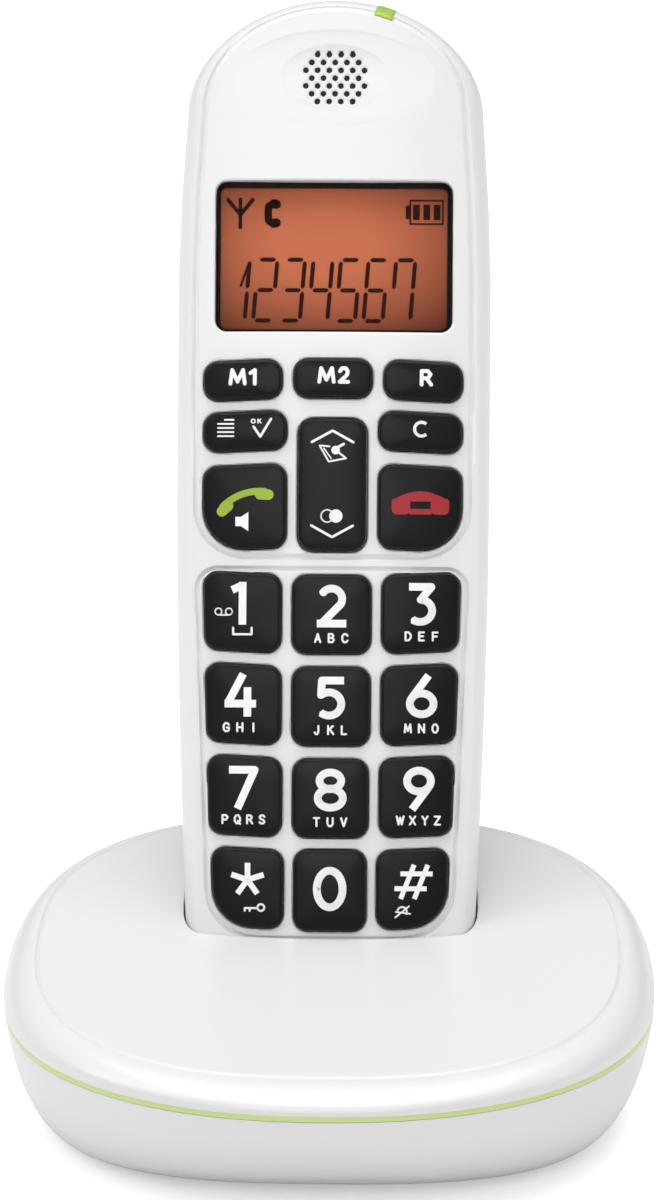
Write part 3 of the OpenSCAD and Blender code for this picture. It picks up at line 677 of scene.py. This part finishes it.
def white_marks(key, x, z):
    """The white marks on the key whose name ends in key, round its middle x, z."""
    ink = Ink()
    line, write = ink.line, ink.write
    if key in LETTERS or key in ("1", "0"):
        mx, mz = x + NUDGE.get(key, 0.0), z + (0.35 if key == "0" else 1.45)
        for stroke in digit_strokes(key):
            line([(mx + a, mz + b) for a, b in stroke], BAR, closed=len(stroke) > 26, round_ends=False)
    if key in LETTERS:
        word = LETTERS[key]
        pitch = 2.0 if len(word) == 4 else 2.2
        for k, letter in enumerate(word):
            write(letter, mx + (k - (len(word) - 1) / 2) * pitch, z - 3.72, 0.85, 1.3, 0.32)
    if key == "1":
        line([(x - 1.5, z - 2.5), (x - 1.5, z - 3.55), (x + 1.5, z - 3.55), (x + 1.5, z - 2.5)], 0.34)
        for k in (-3.9, -2.2):
            line(arc(x + k, z + 0.1, 0.55, 0, 345, 12), 0.22)
        line([(x - 3.9, z - 0.45), (x - 2.2, z - 0.45)], 0.22)
    if key == "star":
        for a in np.radians((90, 162, 234, 306, 18)):
            line([(x, z + 1.4), (x + 2.75 * math.cos(a), z + 1.4 + 2.75 * math.sin(a))], 0.9, round_ends=False)
        line(arc(x + 2.2, z - 3.05, 0.55, 0, 345, 12), 0.34)
        line([(x + 1.6, z - 3.15), (x - 0.4, z - 3.15), (x - 0.4, z - 3.6)], 0.32)
        line([(x + 0.4, z - 3.15), (x + 0.4, z - 3.6)], 0.32)
    if key == "hash":
        cx, cz = x + 0.2, z + 1.25
        for k in (0, 2.2):
            line([(cx - 2.05 + k, cz - 2.75), (cx + 0.1 + k, cz + 2.75)], 0.78, round_ends=False)
        for k, u in ((-3.05, -1.1), (-2.1, 1.3)):
            line([(cx + k, cz + u), (cx + k + 5.2, cz + u)], 0.78, round_ends=False)
        line([(x - 2.7, z - 4.5), (x - 0.5, z - 2.7)], 0.26)
        line(arc(x - 1.6, z - 3.55, 0.75, -30, 160, 8), 0.3)
        line([(x - 2.6, z - 3.6), (x - 0.3, z - 3.9)], 0.26)
    if key in ("memory_1", "memory_2"):
        wide = key == "memory_2"
        write("M", x - (1.05 if wide else 0.85), z + 0.45, 1.95, 2.2, 0.62)
        write(key[-1], x + 1.75, z + 0.45, 1.4 if wide else 1.3, 2.2, 0.62)
    if key == "recall":
        write("R", x + 0.5, z + 0.45, 1.55, 2.2, 0.62)
    if key == "cancel":
        line(arc(x + 0.15, z + 0.4, 1.12, 48, 312, 16), 0.5, round_ends=False)
    if key == "menu":
        for k in range(5):
            row_z = z + 1.75 - k * 0.66
            line([(x - (4.5 if k else 3.4), row_z), (x - 1.75, row_z)], 0.27, round_ends=False)
        line([(x + 1.4, z + 0.65), (x + 2.5, z - 0.95), (x + 4.2, z + 1.9)], 0.4)
        write("O", x + 1.35, z + 1.55, 0.6, 0.6, 0.2)
        write("K", x + 2.35, z + 1.55, 0.5, 0.6, 0.2)
    if key == "call":                             # small loudspeaker
        cone = [(-1.05, -0.75), (-0.15, -0.75), (1.05, -1.55), (1.05, 1.55), (-0.15, 0.75), (-1.05, 0.75)]
        ink.poly([(x - 0.4 + a, z - 2.4 + b) for a, b in cone])
    if key == "navigator":
        for up in (6.75, -6.75):
            tip = z + math.copysign(8.6, up) + 0.15
            line([(x - 3.35, z + up + 0.15), (x, tip), (x + 3.35, z + up + 0.15)], 0.4)
        line([(x - 2.1, z + 6.35), (x - 0.6, z + 3.75), (x + 2.2, z + 4.3)], 0.28)
        line([(x - 2.1, z + 6.35), (x - 0.5, z + 6.2)], 0.28)
        line([(x - 1.4, z + 5.9), (x - 0.2, z + 4.25)], 0.2)
        ink.disc((x + 0.5, z + 5.6), 0.7)
        line([(x + 0.9, z + 6.1), (x + 1.8, z + 6.6)], 0.42)
        line([(x + 0.9, z + 5.3), (x + 2.0, z + 4.45)], 0.28)
        line(arc(x - 0.8, z - 5.05, 1.0, 0, 350, 18), 0.24)
        ink.disc((x + 0.6, z - 5.05), 1.08, 20)
    return ink


def green_receiver(x, z):
    ink = Ink()
    cx, cz = x - 0.15, z + 1.3
    bow = [(u, 0.75 - 0.062 * u * u) for u in np.linspace(-3.6, 3.6, 15)]
    ink.line(turned(bow, cx, cz, 20), 1.1)
    for side in (-1, 1):
        ink.line(turned([(side * 2.75, -0.25), (side * 4.0, -0.75)], cx, cz, 20), 1.7)
    return ink


def red_receiver(x, z):
    ink = Ink()
    cx, cz = x + 0.05, z + 0.75
    crown = [(cx + u, cz + 1.9 - 0.075 * u * u) for u in np.linspace(-4.0, 4.0, 17)]
    for (ax, az), (bx, bz) in zip(crown, crown[1:]):
        ink.poly([(ax, cz + 0.25), (bx, cz + 0.25), (bx, bz), (ax, az)])
    for side in (-3.15, 3.15):
        left, right = cx + side - 1.5, cx + side + 1.5
        cup = [(left, cz - 1.85), (right, cz - 1.85), (right, cz + 0.7), (left, cz + 0.7)]
        ink.poly(rounded(cup, [0.8, 0.8, 0.5, 0.5], 0, 5))
    ink.poly([(cx - 1.8, cz - 1.85), (cx + 1.8, cz - 1.85), (cx + 1.8, cz - 0.95), (cx - 1.8, cz - 0.95)])
    return ink


def legends():
    """The marks on the keys: digits, letters and plain signs, each with its print."""
    made = []
    for name, (corners, _, (x, z)) in KEYS.items():
        on_key = key_top(corners)
        ink = white_marks(name[4:], x, z)
        if ink.faces:
            made.append((PRINT, ink.build(f"legend_{name[4:]}", on_key, name, "black_key")))
        if name == "key_call":
            made.append((PRINT_GREEN, green_receiver(x, z).build("symbol_call", on_key, name, "black_key")))
        if name == "key_end":
            made.append((PRINT_RED, red_receiver(x, z).build("symbol_end", on_key, name, "black_key")))
    return made


# ---------------------------------------------------------------- light pipe
def light_pipe():
    """A small green window that wraps over the rounded top edge."""
    w = float(side_width(LENGTH))
    mid, half = math.asin(8.4 / w), 1.55 / (w * math.cos(math.asin(8.4 / w)))
    across = np.concatenate([[-1, -1], np.linspace(-0.9, 0.9, 9), [1, 1]])
    along = np.concatenate([[0.0, 0.0], np.linspace(0.04, 0.96, 18), [1.0, 1.0]])
    low, pts = 0.3 * FRONT, []
    for i, u in enumerate(along):
        for j, v in enumerate(across):
            rim = max(abs(v), abs(2 * u - 1)) > 0.98
            outside = i in (0, len(along) - 1) or j in (0, len(across) - 1)
            lift = -0.9 if outside else (0.03 if rim else 0.16)
            turn = mid + half * v
            out = np.array([math.sin(turn) / w, math.cos(turn) / ARCH_H])
            out /= np.linalg.norm(out)
            if u < 0.2:
                sink, y, nr, ny = 0.0, -1.2 - (low - 1.2) * u / 0.2, 1.0, 0.0
            else:
                phi = math.radians(78) * (u - 0.2) / 0.8
                sink, y = SHOULDER * (1 - math.cos(phi)), -(low + (FRONT - low - 0.2) * math.sin(phi))
                nr, ny = math.cos(phi) / SHOULDER, math.sin(phi) / (FRONT - low)
            k = math.hypot(nr, ny)
            xz = np.array([w * math.sin(turn), ARCH_Z + ARCH_H * math.cos(turn)]) + out * (lift * nr / k - sink)
            pts.append([xz[0], y - lift * ny / k, xz[1]])
    faces = grid_faces(len(along), len(across))
    obj = new_object("indicator_light", hand(np.array(pts)), faces, "handset", 60)
    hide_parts("indicator_light_pipe")
    return obj


# ---------------------------------------------------------------- base
def resample(pts, shares):
    closed = np.concatenate([pts, pts[:1]])
    run = np.concatenate([[0], np.cumsum(np.linalg.norm(np.diff(closed, axis=0), axis=1))])
    return np.stack([np.interp(shares * run[-1], run, closed[:, k]) for k in range(2)], -1)


def oval(a, b, n, shares, mid_y=0.0):
    """Superellipse points at shares of its length, starting at the back and going round by +x."""
    t = np.linspace(math.pi / 2, math.pi / 2 - 2 * math.pi, 1601)[:-1]
    c, s = np.cos(t), np.sin(t)
    pts = np.stack([a * np.sign(c) * np.abs(c) ** (2 / n), b * np.sign(s) * np.abs(s) ** (2 / n)], -1)
    return resample(pts, shares) + np.array([0, mid_y])


BACK_DENSE = 0.085
SHARES = np.concatenate([np.linspace(0, BACK_DENSE, 70)[:-1],
                         np.linspace(BACK_DENSE, 1 - BACK_DENSE, 300)[:-1],
                         np.linspace(1 - BACK_DENSE, 1, 70)[:-1]])
ROUND_SHARES = np.linspace(0, 1, 401)[:-1]


def deck_z(x, y):
    q = (np.abs(x) / (BASE_A - DECK_IN_X)) ** 2.5 + (np.abs(y) / (BASE_B - DECK_IN_Y)) ** 2.5
    return DECK_Z + DECK_SLOPE * y + DECK_CROWN * np.clip(1 - q, 0, 1) ** 0.8


def side_ring(f):
    a = BASE_A + BULGE * f * (1 - f) - DECK_IN_X * f**3
    b = BASE_B + BULGE * f * (1 - f) - DECK_IN_Y * f**3
    o = oval(a, b, RING_N + (DECK_N - RING_N) * f, ROUND_SHARES)
    return level(o, TRIM_Z + (DECK_Z - TRIM_Z) * f + f * DECK_SLOPE * o[:, 1])


def section_outline(grow, z=14.0):
    """The handset's outline where it meets the deck, grown by grow, in its own x and y."""
    w = float(half_width(z))
    xf = w - SHOULDER
    low = 0.3 * FRONT
    edge = FRONT - xf**2 / (2 * FACE_R)
    t = np.linspace(-1, 1, 60)
    face = [(xf * k, -(FRONT - (xf * k) ** 2 / (2 * FACE_R))) for k in t]
    right = [(xf + SHOULDER * math.cos(a), -(low + (edge - low) * math.sin(a)))
             for a in np.linspace(math.pi / 2, 0, 14)[1:]]
    back = [(w * np.sign(math.cos(a)) * abs(math.cos(a)) ** (2 / BACK_N), BACK * math.sin(a) ** (2 / BACK_N))
            for a in np.linspace(0, math.pi, 80)]
    left = [(-x, y) for x, y in reversed(right)]
    p = np.array(face + right + back + left)
    p[:, 0] *= half_width(10.8 + (p[:, 1] + FRONT) * 0.5) / w
    d = np.roll(p, -1, 0) - np.roll(p, 1, 0)
    normal = np.stack([d[:, 1], -d[:, 0]], -1) / (np.linalg.norm(d, axis=1)[:, None] + 1e-9)
    return p + normal * grow


def by_angle(pts, centre, angles):
    """Distance of a closed outline from centre at each angle."""
    d = pts - centre
    a = np.unwrap(np.arctan2(d[:, 1], d[:, 0]))
    if a[-1] < a[0]:
        a, d = a[::-1], d[::-1]
    r = np.linalg.norm(d, axis=1)
    a = np.concatenate([a - 2 * math.pi, a, a + 2 * math.pi, a + 4 * math.pi])
    return np.interp(angles, a, np.tile(r, 4))


def base_top():
    c, s = math.cos(LEAN), math.sin(LEAN)
    n = 400
    angles = np.linspace(math.pi / 2, -1.5 * math.pi, n + 1)[:-1]
    centre = np.array([0, 1.8])

    def well(grow):
        r = by_angle(section_outline(grow), centre, angles)
        return centre + np.stack([r * np.cos(angles), r * np.sin(angles)], -1)

    def at(local, z_local):
        y, z = HAND_FOOT + local[:, 1] * c + z_local * s, HAND_Z - local[:, 1] * s + z_local * c
        return np.stack([local[:, 0], y, z], -1)

    def deck_level(local):
        z_local = np.full(len(local), 14.0)
        for _ in range(8):
            p = at(local, z_local)
            z_local = z_local + (deck_z(p[:, 0], p[:, 1]) - p[:, 2]) / c
        return z_local

    gap, lip = WELL_GAP, WELL_LIP
    rings = [at(centre + (well(gap) - centre) * 0.5, np.full(n, WELL_FLOOR)),
             at(well(gap - 0.15), np.full(n, WELL_FLOOR)),
             at(well(gap), np.full(n, -0.4))]
    rim = well(gap)
    top = deck_level(rim)
    for share in (0.3, 0.6, 0.85):
        rings.append(at(rim, -0.4 + (top - lip + 0.4) * share))
    for k in range(6):
        a = math.pi / 2 * k / 5
        o = well(gap + lip * (1 - math.cos(a)))
        rings.append(at(o, deck_level(o) - lip * (1 - math.sin(a))))
    inner = rings[-1]
    outer = side_ring(1.0)
    mid = inner[:, :2].mean(0)
    start = outer[:, :2]
    ang = np.arctan2(inner[:, 1] - mid[1], inner[:, 0] - mid[0])
    rad = by_angle(start, mid, np.where(ang > math.pi / 2 + 1e-9, ang - 2 * math.pi, ang) + 2 * math.pi)
    edge = mid + np.stack([np.cos(ang) * rad, np.sin(ang) * rad], -1)

    def deck(t):
        p = inner[:, :2] + (edge - inner[:, :2]) * t
        return level(p, deck_z(p[:, 0], p[:, 1]))

    def side(f):
        o = side_ring(f)
        q = o[:, :2] - mid
        r = by_angle(o[:, :2], mid, np.where(ang > math.pi / 2 + 1e-9, ang - 2 * math.pi, ang) + 2 * math.pi)
        xy = mid + np.stack([np.cos(ang) * r, np.sin(ang) * r], -1)
        return level(xy, TRIM_Z + (DECK_Z - TRIM_Z) * f + f * DECK_SLOPE * xy[:, 1])

    def in_from_edge(mm, drop=0.0):
        """The deck a few millimetres in from its edge, sunk by drop."""
        run = np.linalg.norm(edge - inner[:, :2], axis=1)
        t = 1 - mm / run
        p = inner[:, :2] + (edge - inner[:, :2]) * t[:, None]
        return level(p, deck_z(p[:, 0], p[:, 1]) - drop)

    start = in_from_edge(2.6)
    rings += [inner + (start - inner) * t * np.array([1, 1, 0]) for t in np.linspace(0, 1, 40)[1:-1]]
    for k in range(len(rings) - 38, len(rings)):
        rings[k][:, 2] = deck_z(rings[k][:, 0], rings[k][:, 1])
    crease = ((2.4, 0.0), (2.2, 0.05), (2.02, 0.22), (1.86, 0.32), (1.7, 0.22), (1.52, 0.05), (1.36, 0.0))
    rings += [start] + [in_from_edge(mm, drop) for mm, drop in crease]
    a, b, d = in_from_edge(1.3), deck(1.0), side(0.86)
    rings += [(1 - k) ** 2 * a + 2 * k * (1 - k) * b + k * k * d for k in np.linspace(0, 1, 14)]
    rings += [side(f) for f in np.linspace(0.86, 0.095, 20)[1:]]
    last = side(0.08)
    rings.append(last)
    last = last.copy()
    last[:, :2] *= 0.985
    last[:, 2] = TRIM_Z + TRIM_H / 2 + 0.02
    rings.append(last)
    verts, faces = loft(rings, (0,))
    obj = new_object("deck_shell", base(verts), faces, "base", 60)
    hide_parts("base_top_cover")
    return obj


def base_tub():
    fs = np.concatenate([1 - np.cos(np.linspace(0, 1.05, 26)),
                         np.linspace(0.52, (14.6 - FOOT_Z) / (TRIM_Z - FOOT_Z), 12), np.linspace(0.78, 0.958, 12)])
    fs = np.unique(np.round(fs, 5))
    rings = []
    for f in fs:
        k = (1 - (1 - f) ** 1.7) ** (1 / 1.7)
        back, front = BOTTOM_BACK * (1 - k), BOTTOM_FRONT * (1 - k)
        o = oval(BASE_A - BOTTOM_SIDE * (1 - k), BASE_B - (front + back) / 2, BOTTOM_N + (RING_N - BOTTOM_N) * k,
                 SHARES, (front - back) / 2)
        rings.append(level(o, FOOT_Z + (TRIM_Z - FOOT_Z) * f))
    P = np.array(rings)
    X, Y, Z = P[..., 0], P[..., 1], P[..., 2]
    D = np.zeros_like(X)
    rear = Y > 15
    x, z, d = X[rear], Z[rear], D[rear]
    for side in (-1, 1):
        cut(x, z, d, rounded(box_corners(11.8, 9.0, SOCKET_Z, side * SOCKET_X), [0.4] * 4), 11.0, 0.25, 0.4)
    cut(x, z, d, ellipse(3.7, 3.7, 0, 13.0, 36), 6.0, 0.25, 0.4)
    X[rear], Z[rear] = x, z
    Y[rear] -= d
    rings = [P[0] * np.array([0.3, 0.3, 1]) + np.array([0, 4.2, 0]),
             P[0] * np.array([0.75, 0.75, 1]) + np.array([0, 1.5, 0])] + list(P)
    last = P[-1].copy()
    last[:, :2] *= 0.985
    last[:, 2] = TRIM_Z - TRIM_H / 2 + 0.02
    rings.append(last)
    verts, faces = loft(rings, (0,))
    obj = new_object("tub_shell", base(verts), faces, "base", 45)
    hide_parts("base_bottom_cover")
    return obj


def trim_ring():
    rings = []
    for dx, dz in ((-2.0, 0.68), (-0.5, 0.7), (-0.06, 0.7), (0.08, 0.64), (0.13, 0.5), (0.145, 0),
                   (0.13, -0.5), (0.08, -0.64), (-0.06, -0.7), (-0.5, -0.7), (-2.0, -0.68)):
        rings.append(level(oval(BASE_A + dx, BASE_B + dx, RING_N, ROUND_SHARES), TRIM_Z + dz))
    verts, faces = loft(rings, ())
    obj = new_object("trim_band", base(verts), faces, "base")
    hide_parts("trim_ring")
    return obj


def page_button():
    low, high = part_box("page_button")
    t = np.linspace(0, 2 * math.pi, 48, endpoint=False)
    ring = np.stack([np.cos(t), np.sin(t)], -1)
    z = (low[2] + high[2]) / 2 / MM
    out, back = high[1] / MM - BASE_Y, low[1] / MM - BASE_Y
    rings = []
    for r, y in ((4.3, back), (4.3, back + 0.75), (3.4, back + 0.8), (3.4, out - 0.5), (3.3, out - 0.2),
                 (3.05, out), (2.5, out - 0.05), (1.6, out - 0.22), (0.6, out - 0.3)):
        rings.append(np.stack([ring[:, 0] * r, np.full(48, y), z + ring[:, 1] * r], -1))
    verts, faces = loft(rings)
    obj = new_object("page_button_cap", base(verts), faces, "page_button", 50)
    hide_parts("page_button")
    return obj


# ---------------------------------------------------------------- finishes
def material(name, color, rough, vary=0.03, bump=0.05, grain=900.0, metal=0.0, coat=0.0, sub=0.0,
             alpha=1.0, wear=0.12, ior=1.5, glow=0.0,
             uneven=0.2):
    """A finish with uneven colour, fine grain in the surface, uneven gloss and lighter worn edges."""
    mat = bpy.data.materials.new(name)
    mat.use_nodes = True
    nt = mat.node_tree
    n, link = nt.nodes, nt.links
    shader = n["Principled BSDF"]
    coord = n.new("ShaderNodeTexCoord")
    broad = n.new("ShaderNodeTexNoise")
    broad.inputs["Scale"].default_value = 28
    broad.inputs["Detail"].default_value = 4
    fine = n.new("ShaderNodeTexNoise")
    fine.inputs["Scale"].default_value = grain
    fine.inputs["Detail"].default_value = 2
    link.new(coord.outputs["Object"], broad.inputs["Vector"])
    link.new(coord.outputs["Object"], fine.inputs["Vector"])
    ramp = n.new("ShaderNodeValToRGB")
    low = [max(c * (1 - vary), 0) for c in color[:3]] + [1]
    high = [min(c * (1 + vary), 1) for c in color[:3]] + [1]
    ramp.color_ramp.elements[0].position, ramp.color_ramp.elements[1].position = 0.0, 1.0
    ramp.color_ramp.elements[0].color, ramp.color_ramp.elements[1].color = low, high
    link.new(broad.outputs["Fac"], ramp.inputs["Fac"])
    geo = n.new("ShaderNodeNewGeometry")
    edge = n.new("ShaderNodeMapRange")
    for key, value in (("From Min", 0.55), ("From Max", 0.75), ("To Min", 0.0), ("To Max", wear)):
        edge.inputs[key].default_value = value
    link.new(geo.outputs["Pointiness"], edge.inputs["Value"])
    mix = n.new("ShaderNodeMix")
    mix.data_type = "RGBA"
    link.new(edge.outputs["Result"], mix.inputs["Factor"])
    link.new(ramp.outputs["Color"], mix.inputs[6])
    mix.inputs[7].default_value = [min(c * 1.3 + 0.04, 1) for c in color[:3]] + [1]
    link.new(mix.outputs[2], shader.inputs["Base Color"])
    gloss = n.new("ShaderNodeMapRange")
    for key, value in (("From Min", 0.0), ("From Max", 1.0), ("To Min", rough * (1 - uneven)),
                       ("To Max", min(rough * (1 + uneven), 1))):
        gloss.inputs[key].default_value = value
    link.new(broad.outputs["Fac"], gloss.inputs["Value"])
    link.new(gloss.outputs["Result"], shader.inputs["Roughness"])
    push = n.new("ShaderNodeBump")
    push.inputs["Strength"].default_value = bump
    push.inputs["Distance"].default_value = 0.0001
    link.new(fine.outputs["Fac"], push.inputs["Height"])
    link.new(push.outputs["Normal"], shader.inputs["Normal"])
    shader.inputs["Metallic"].default_value = metal
    shader.inputs["IOR"].default_value = ior
    shader.inputs["Coat Weight"].default_value = coat
    shader.inputs["Coat Roughness"].default_value = 0.12
    shader.inputs["Subsurface Weight"].default_value = sub
    shader.inputs["Subsurface Scale"].default_value = 0.002
    shader.inputs["Alpha"].default_value = alpha
    if glow:
        link.new(ramp.outputs["Color"], shader.inputs["Emission Color"])
        shader.inputs["Emission Strength"].default_value = glow
    return mat


def shade_display_edges(mat):
    """The display's amber is painted darker towards its edges, as painted shade from the window's rim, and glows
    faintly.
    """
    n, link = mat.node_tree.nodes, mat.node_tree.links
    shader = n["Principled BSDF"]
    coord = n.new("ShaderNodeTexCoord")
    grad = n.new("ShaderNodeTexGradient")
    grad.gradient_type = "SPHERICAL"
    place = n.new("ShaderNodeMapping")
    place.vector_type = "TEXTURE"
    link.new(coord.outputs["Generated"], place.inputs["Vector"])
    place.inputs["Location"].default_value = (0.46, 0.55, 0.55)
    place.inputs["Scale"].default_value = (0.88, 1.1, 1.1)
    link.new(place.outputs["Vector"], grad.inputs["Vector"])
    ramp = n.new("ShaderNodeValToRGB")
    ramp.color_ramp.elements[0].position, ramp.color_ramp.elements[1].position = 0.12, 0.75
    # the first, darker colour is the painted shade at the display's edges; the second is its amber middle
    ramp.color_ramp.elements[0].color = (0.13, 0.032, 0.014, 1)
    ramp.color_ramp.elements[1].color = (0.62, 0.17, 0.08, 1)
    link.new(grad.outputs["Fac"], ramp.inputs["Fac"])
    link.new(ramp.outputs["Color"], shader.inputs["Base Color"])
    link.new(ramp.outputs["Color"], shader.inputs["Emission Color"])
    shader.inputs["Emission Strength"].default_value = 0.05


WHITE = material("white_plastic", (0.755, 0.755, 0.757), 0.3, 0.003, 0.02, 700, coat=0.15, wear=0.02, uneven=0.04)
BASE_WHITE = material("base_plastic", (0.685, 0.685, 0.687), 0.3, 0.003, 0.02, 700, coat=0.15, wear=0.02, uneven=0.04)
DOOR = material("door_plastic", (0.745, 0.745, 0.748), 0.3, 0.01, 0.03, 700, coat=0.2, wear=0.05, uneven=0.04)
KEY = material("key_plastic", (0.007, 0.007, 0.0074), 0.3, 0.15, 0.05, 1400, wear=0.02, ior=1.25)
GLASS = material("window_plastic", (0.02, 0.01, 0.01), 0.06, 0.02, 0.01, 300, alpha=0.05, wear=0.0, ior=1.22)
FILM = material("black_film", (0.006, 0.004, 0.004), 0.5, 0.1, 0.03, 900, wear=0.0, ior=1.2)
AMBER = material("display_amber", (0.6, 0.18, 0.08), 0.6, 0.05, 0.02, 1800, ior=1.2)
# painted shade darkens the display towards its edges
shade_display_edges(AMBER)
FIGURES = material("display_figures", (0.03, 0.007, 0.004), 0.6, 0.1, 0.02, 900, wear=0.0, ior=1.15)
PRINT = material("white_print", (0.85, 0.85, 0.84), 0.5, 0.03, 0.04, 1500, wear=0.0)
PRINT_GREEN = material("green_print", (0.31, 0.45, 0.03), 0.5, 0.05, 0.04, 1500, wear=0.0)
PRINT_RED = material("red_print", (0.34, 0.009, 0.018), 0.5, 0.05, 0.04, 1500, wear=0.0)
LIME = material("lime_trim", (0.52, 0.66, 0.25), 0.3, 0.03, 0.02, 800, coat=0.2, sub=0.05)
LIGHT = material("green_light", (0.3, 0.47, 0.035), 0.3, 0.06, 0.02, 800, coat=0.2, glow=0.04)
METAL = material("nickel", (0.62, 0.62, 0.6), 0.25, 0.05, 0.1, 1500, metal=1.0)
GOLD = material("gold_plate", (0.75, 0.52, 0.2), 0.25, 0.05, 0.1, 1500, metal=1.0)
DARK = material("black_moulding", (0.02, 0.02, 0.021), 0.5, 0.15, 0.2, 900)
RUBBER = material("dark_rubber", (0.028, 0.028, 0.028), 0.75, 0.2, 0.4, 900)
MAT_RUBBER = material("keypad_rubber", (0.35, 0.35, 0.35), 0.7, 0.06, 0.3, 900)
BOARD = material("solder_mask", (0.02, 0.14, 0.06), 0.35, 0.15, 0.15, 500)
CELL = material("cell_wrap", (0.28, 0.5, 0.08), 0.3, 0.12, 0.05, 400, coat=0.3)
GREY = material("grey_plastic", (0.2, 0.2, 0.21), 0.4, 0.06, 0.1, 900)
DIFFUSER = material("light_diffuser", (0.9, 0.62, 0.4), 0.5, 0.04, 0.05, 500)
FELT = material("felt", (0.02, 0.02, 0.02), 0.95, 0.3, 0.8, 2500, wear=0.0)


def paint(obj, mat):
    obj.data.materials.clear()
    obj.data.materials.append(mat)


# ---------------------------------------------------------------- the object
paint(front_cover(), WHITE)
paint(rear_cover(), WHITE)
paint(battery_door(), DOOR)
for name in KEYS:
    paint(key_cap(name), KEY)
for ink, marks in legends():
    paint(marks, ink)
paint(window_pane(), GLASS)
paint(window_mask_and_rim_shadow(), FILM)
paint(display_panel(), AMBER)
paint(display_ink(), FIGURES)
paint(ear_cloth(), FELT)
paint(light_pipe(), LIGHT)
paint(base_top(), BASE_WHITE)
paint(base_tub(), BASE_WHITE)
paint(trim_ring(), LIME)
paint(page_button(), GREY)

CARRIED = {
    "backlight": DIFFUSER, "lcd_holder": DARK, "earpiece_speaker": METAL, "ringer_speaker": METAL,
    "microphone": METAL, "handset_circuit_board": BOARD, "keypad_mat": MAT_RUBBER, "battery_left": CELL, "battery_right": CELL,
    "battery_terminals": METAL, "handset_antenna": GOLD, "handset_charge_pads": METAL, "handset_screws": METAL,
    "base_circuit_board": BOARD, "base_antenna": GOLD, "charge_pin_left": GOLD, "charge_pin_right": GOLD,
    "charge_pin_guides": DARK, "line_socket": DARK, "power_socket": DARK, "base_feet": RUBBER, "base_screws": METAL}
for name, mat in CARRIED.items():
    paint(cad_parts[name], mat)
    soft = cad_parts[name].modifiers.new("edges", "BEVEL")
    soft.width, soft.segments, soft.limit_method, soft.angle_limit = 0.00012, 2, "ANGLE", math.radians(40)

# ---------------------------------------------------------------- table, light and camera
scene = bpy.context.scene
floor_mesh = bpy.data.meshes.new("table_top")
bm = bmesh.new()
bmesh.ops.create_grid(bm, x_segments=4, y_segments=4, size=3.0)
bm.to_mesh(floor_mesh)
bm.free()
floor = bpy.data.objects.new("table_top", floor_mesh)
scene.collection.objects.link(floor)
table = material("pale_table", (0.9, 0.9, 0.9), 0.6, 0.01, 0.02, 60, wear=0.0, glow=0.45)
tn, tl = table.node_tree.nodes, table.node_tree.links
table_ray = tn.new("ShaderNodeLightPath")
table_glow = tn.new("ShaderNodeMath")
table_glow.operation = "MULTIPLY"
table_glow.inputs[1].default_value = 0.45
tl.new(table_ray.outputs["Is Camera Ray"], table_glow.inputs[0])
tl.new(table_glow.outputs["Value"], tn["Principled BSDF"].inputs["Emission Strength"])
paint(floor, table)

centre = Vector((0, 0, 0.085))


def softbox(name, where, size, power, aim=centre):
    lamp = bpy.data.lights.new(name, "AREA")
    lamp.shape, lamp.size, lamp.size_y, lamp.energy = "RECTANGLE", size[0], size[1], power
    obj = bpy.data.objects.new(name, lamp)
    obj.location = where
    obj.rotation_euler = (Vector(aim) - Vector(where)).to_track_quat("-Z", "Y").to_euler()
    scene.collection.objects.link(obj)
    return obj


softbox("overhead", (0.0, 0.1, 2.0), (1.6, 1.4), 25.0)
softbox("left_box", (-0.85, -0.3, 0.75), (0.35, 0.9), 2.9)
softbox("right_box", (0.95, -0.3, 0.3), (0.3, 0.7), 1.3)
softbox("front_fill", (-0.1, -1.2, 0.75), (0.7, 0.5), 3.2)

world = bpy.data.worlds.new("studio")
scene.world = world
world.use_nodes = True
wn, wl = world.node_tree.nodes, world.node_tree.links
sky = wn["Background"]
sky_at = wn.new("ShaderNodeTexCoord")
sky_axes = wn.new("ShaderNodeSeparateXYZ")
sky_ramp = wn.new("ShaderNodeValToRGB")
wl.new(sky_at.outputs["Generated"], sky_axes.inputs["Vector"])
wl.new(sky_axes.outputs["Z"], sky_ramp.inputs["Fac"])
sky_ramp.color_ramp.elements[0].position, sky_ramp.color_ramp.elements[1].position = 0.0, 0.9
sky_ramp.color_ramp.elements[0].color, sky_ramp.color_ramp.elements[1].color = (0.30, 0.30, 0.30, 1), (0.8, 0.8, 0.8, 1)
wl.new(sky_ramp.outputs["Color"], sky.inputs["Color"])
sky.inputs["Strength"].default_value = 0.8
seen = wn.new("ShaderNodeBackground")
seen.inputs["Color"].default_value = (1, 1, 1, 1)
seen.inputs["Strength"].default_value = 1.05
ray = wn.new("ShaderNodeLightPath")
both = wn.new("ShaderNodeMixShader")
wl.new(ray.outputs["Is Camera Ray"], both.inputs["Fac"])
wl.new(sky.outputs["Background"], both.inputs[1])
wl.new(seen.outputs["Background"], both.inputs[2])
wl.new(both.outputs["Shader"], wn["World Output"].inputs["Surface"])
scene.view_settings.view_transform = "Standard"

aim = Vector(hand(np.array([-0.35, -FRONT, 65.3])))
azimuth, elevation, distance = math.radians(1.1), math.radians(19.0), 0.9
away = Vector((math.sin(azimuth) * math.cos(elevation), -math.cos(azimuth) * math.cos(elevation), math.sin(elevation)))
cam_data = bpy.data.cameras.new("camera")
cam_data.lens = 167.0
cam_data.sensor_width = 36.0
cam_data.clip_start = 0.01
cam = bpy.data.objects.new("camera", cam_data)
cam.location = aim + away * distance
cam.rotation_euler = (-away).to_track_quat("-Z", "Y").to_euler()
scene.collection.objects.link(cam)
scene.camera = cam
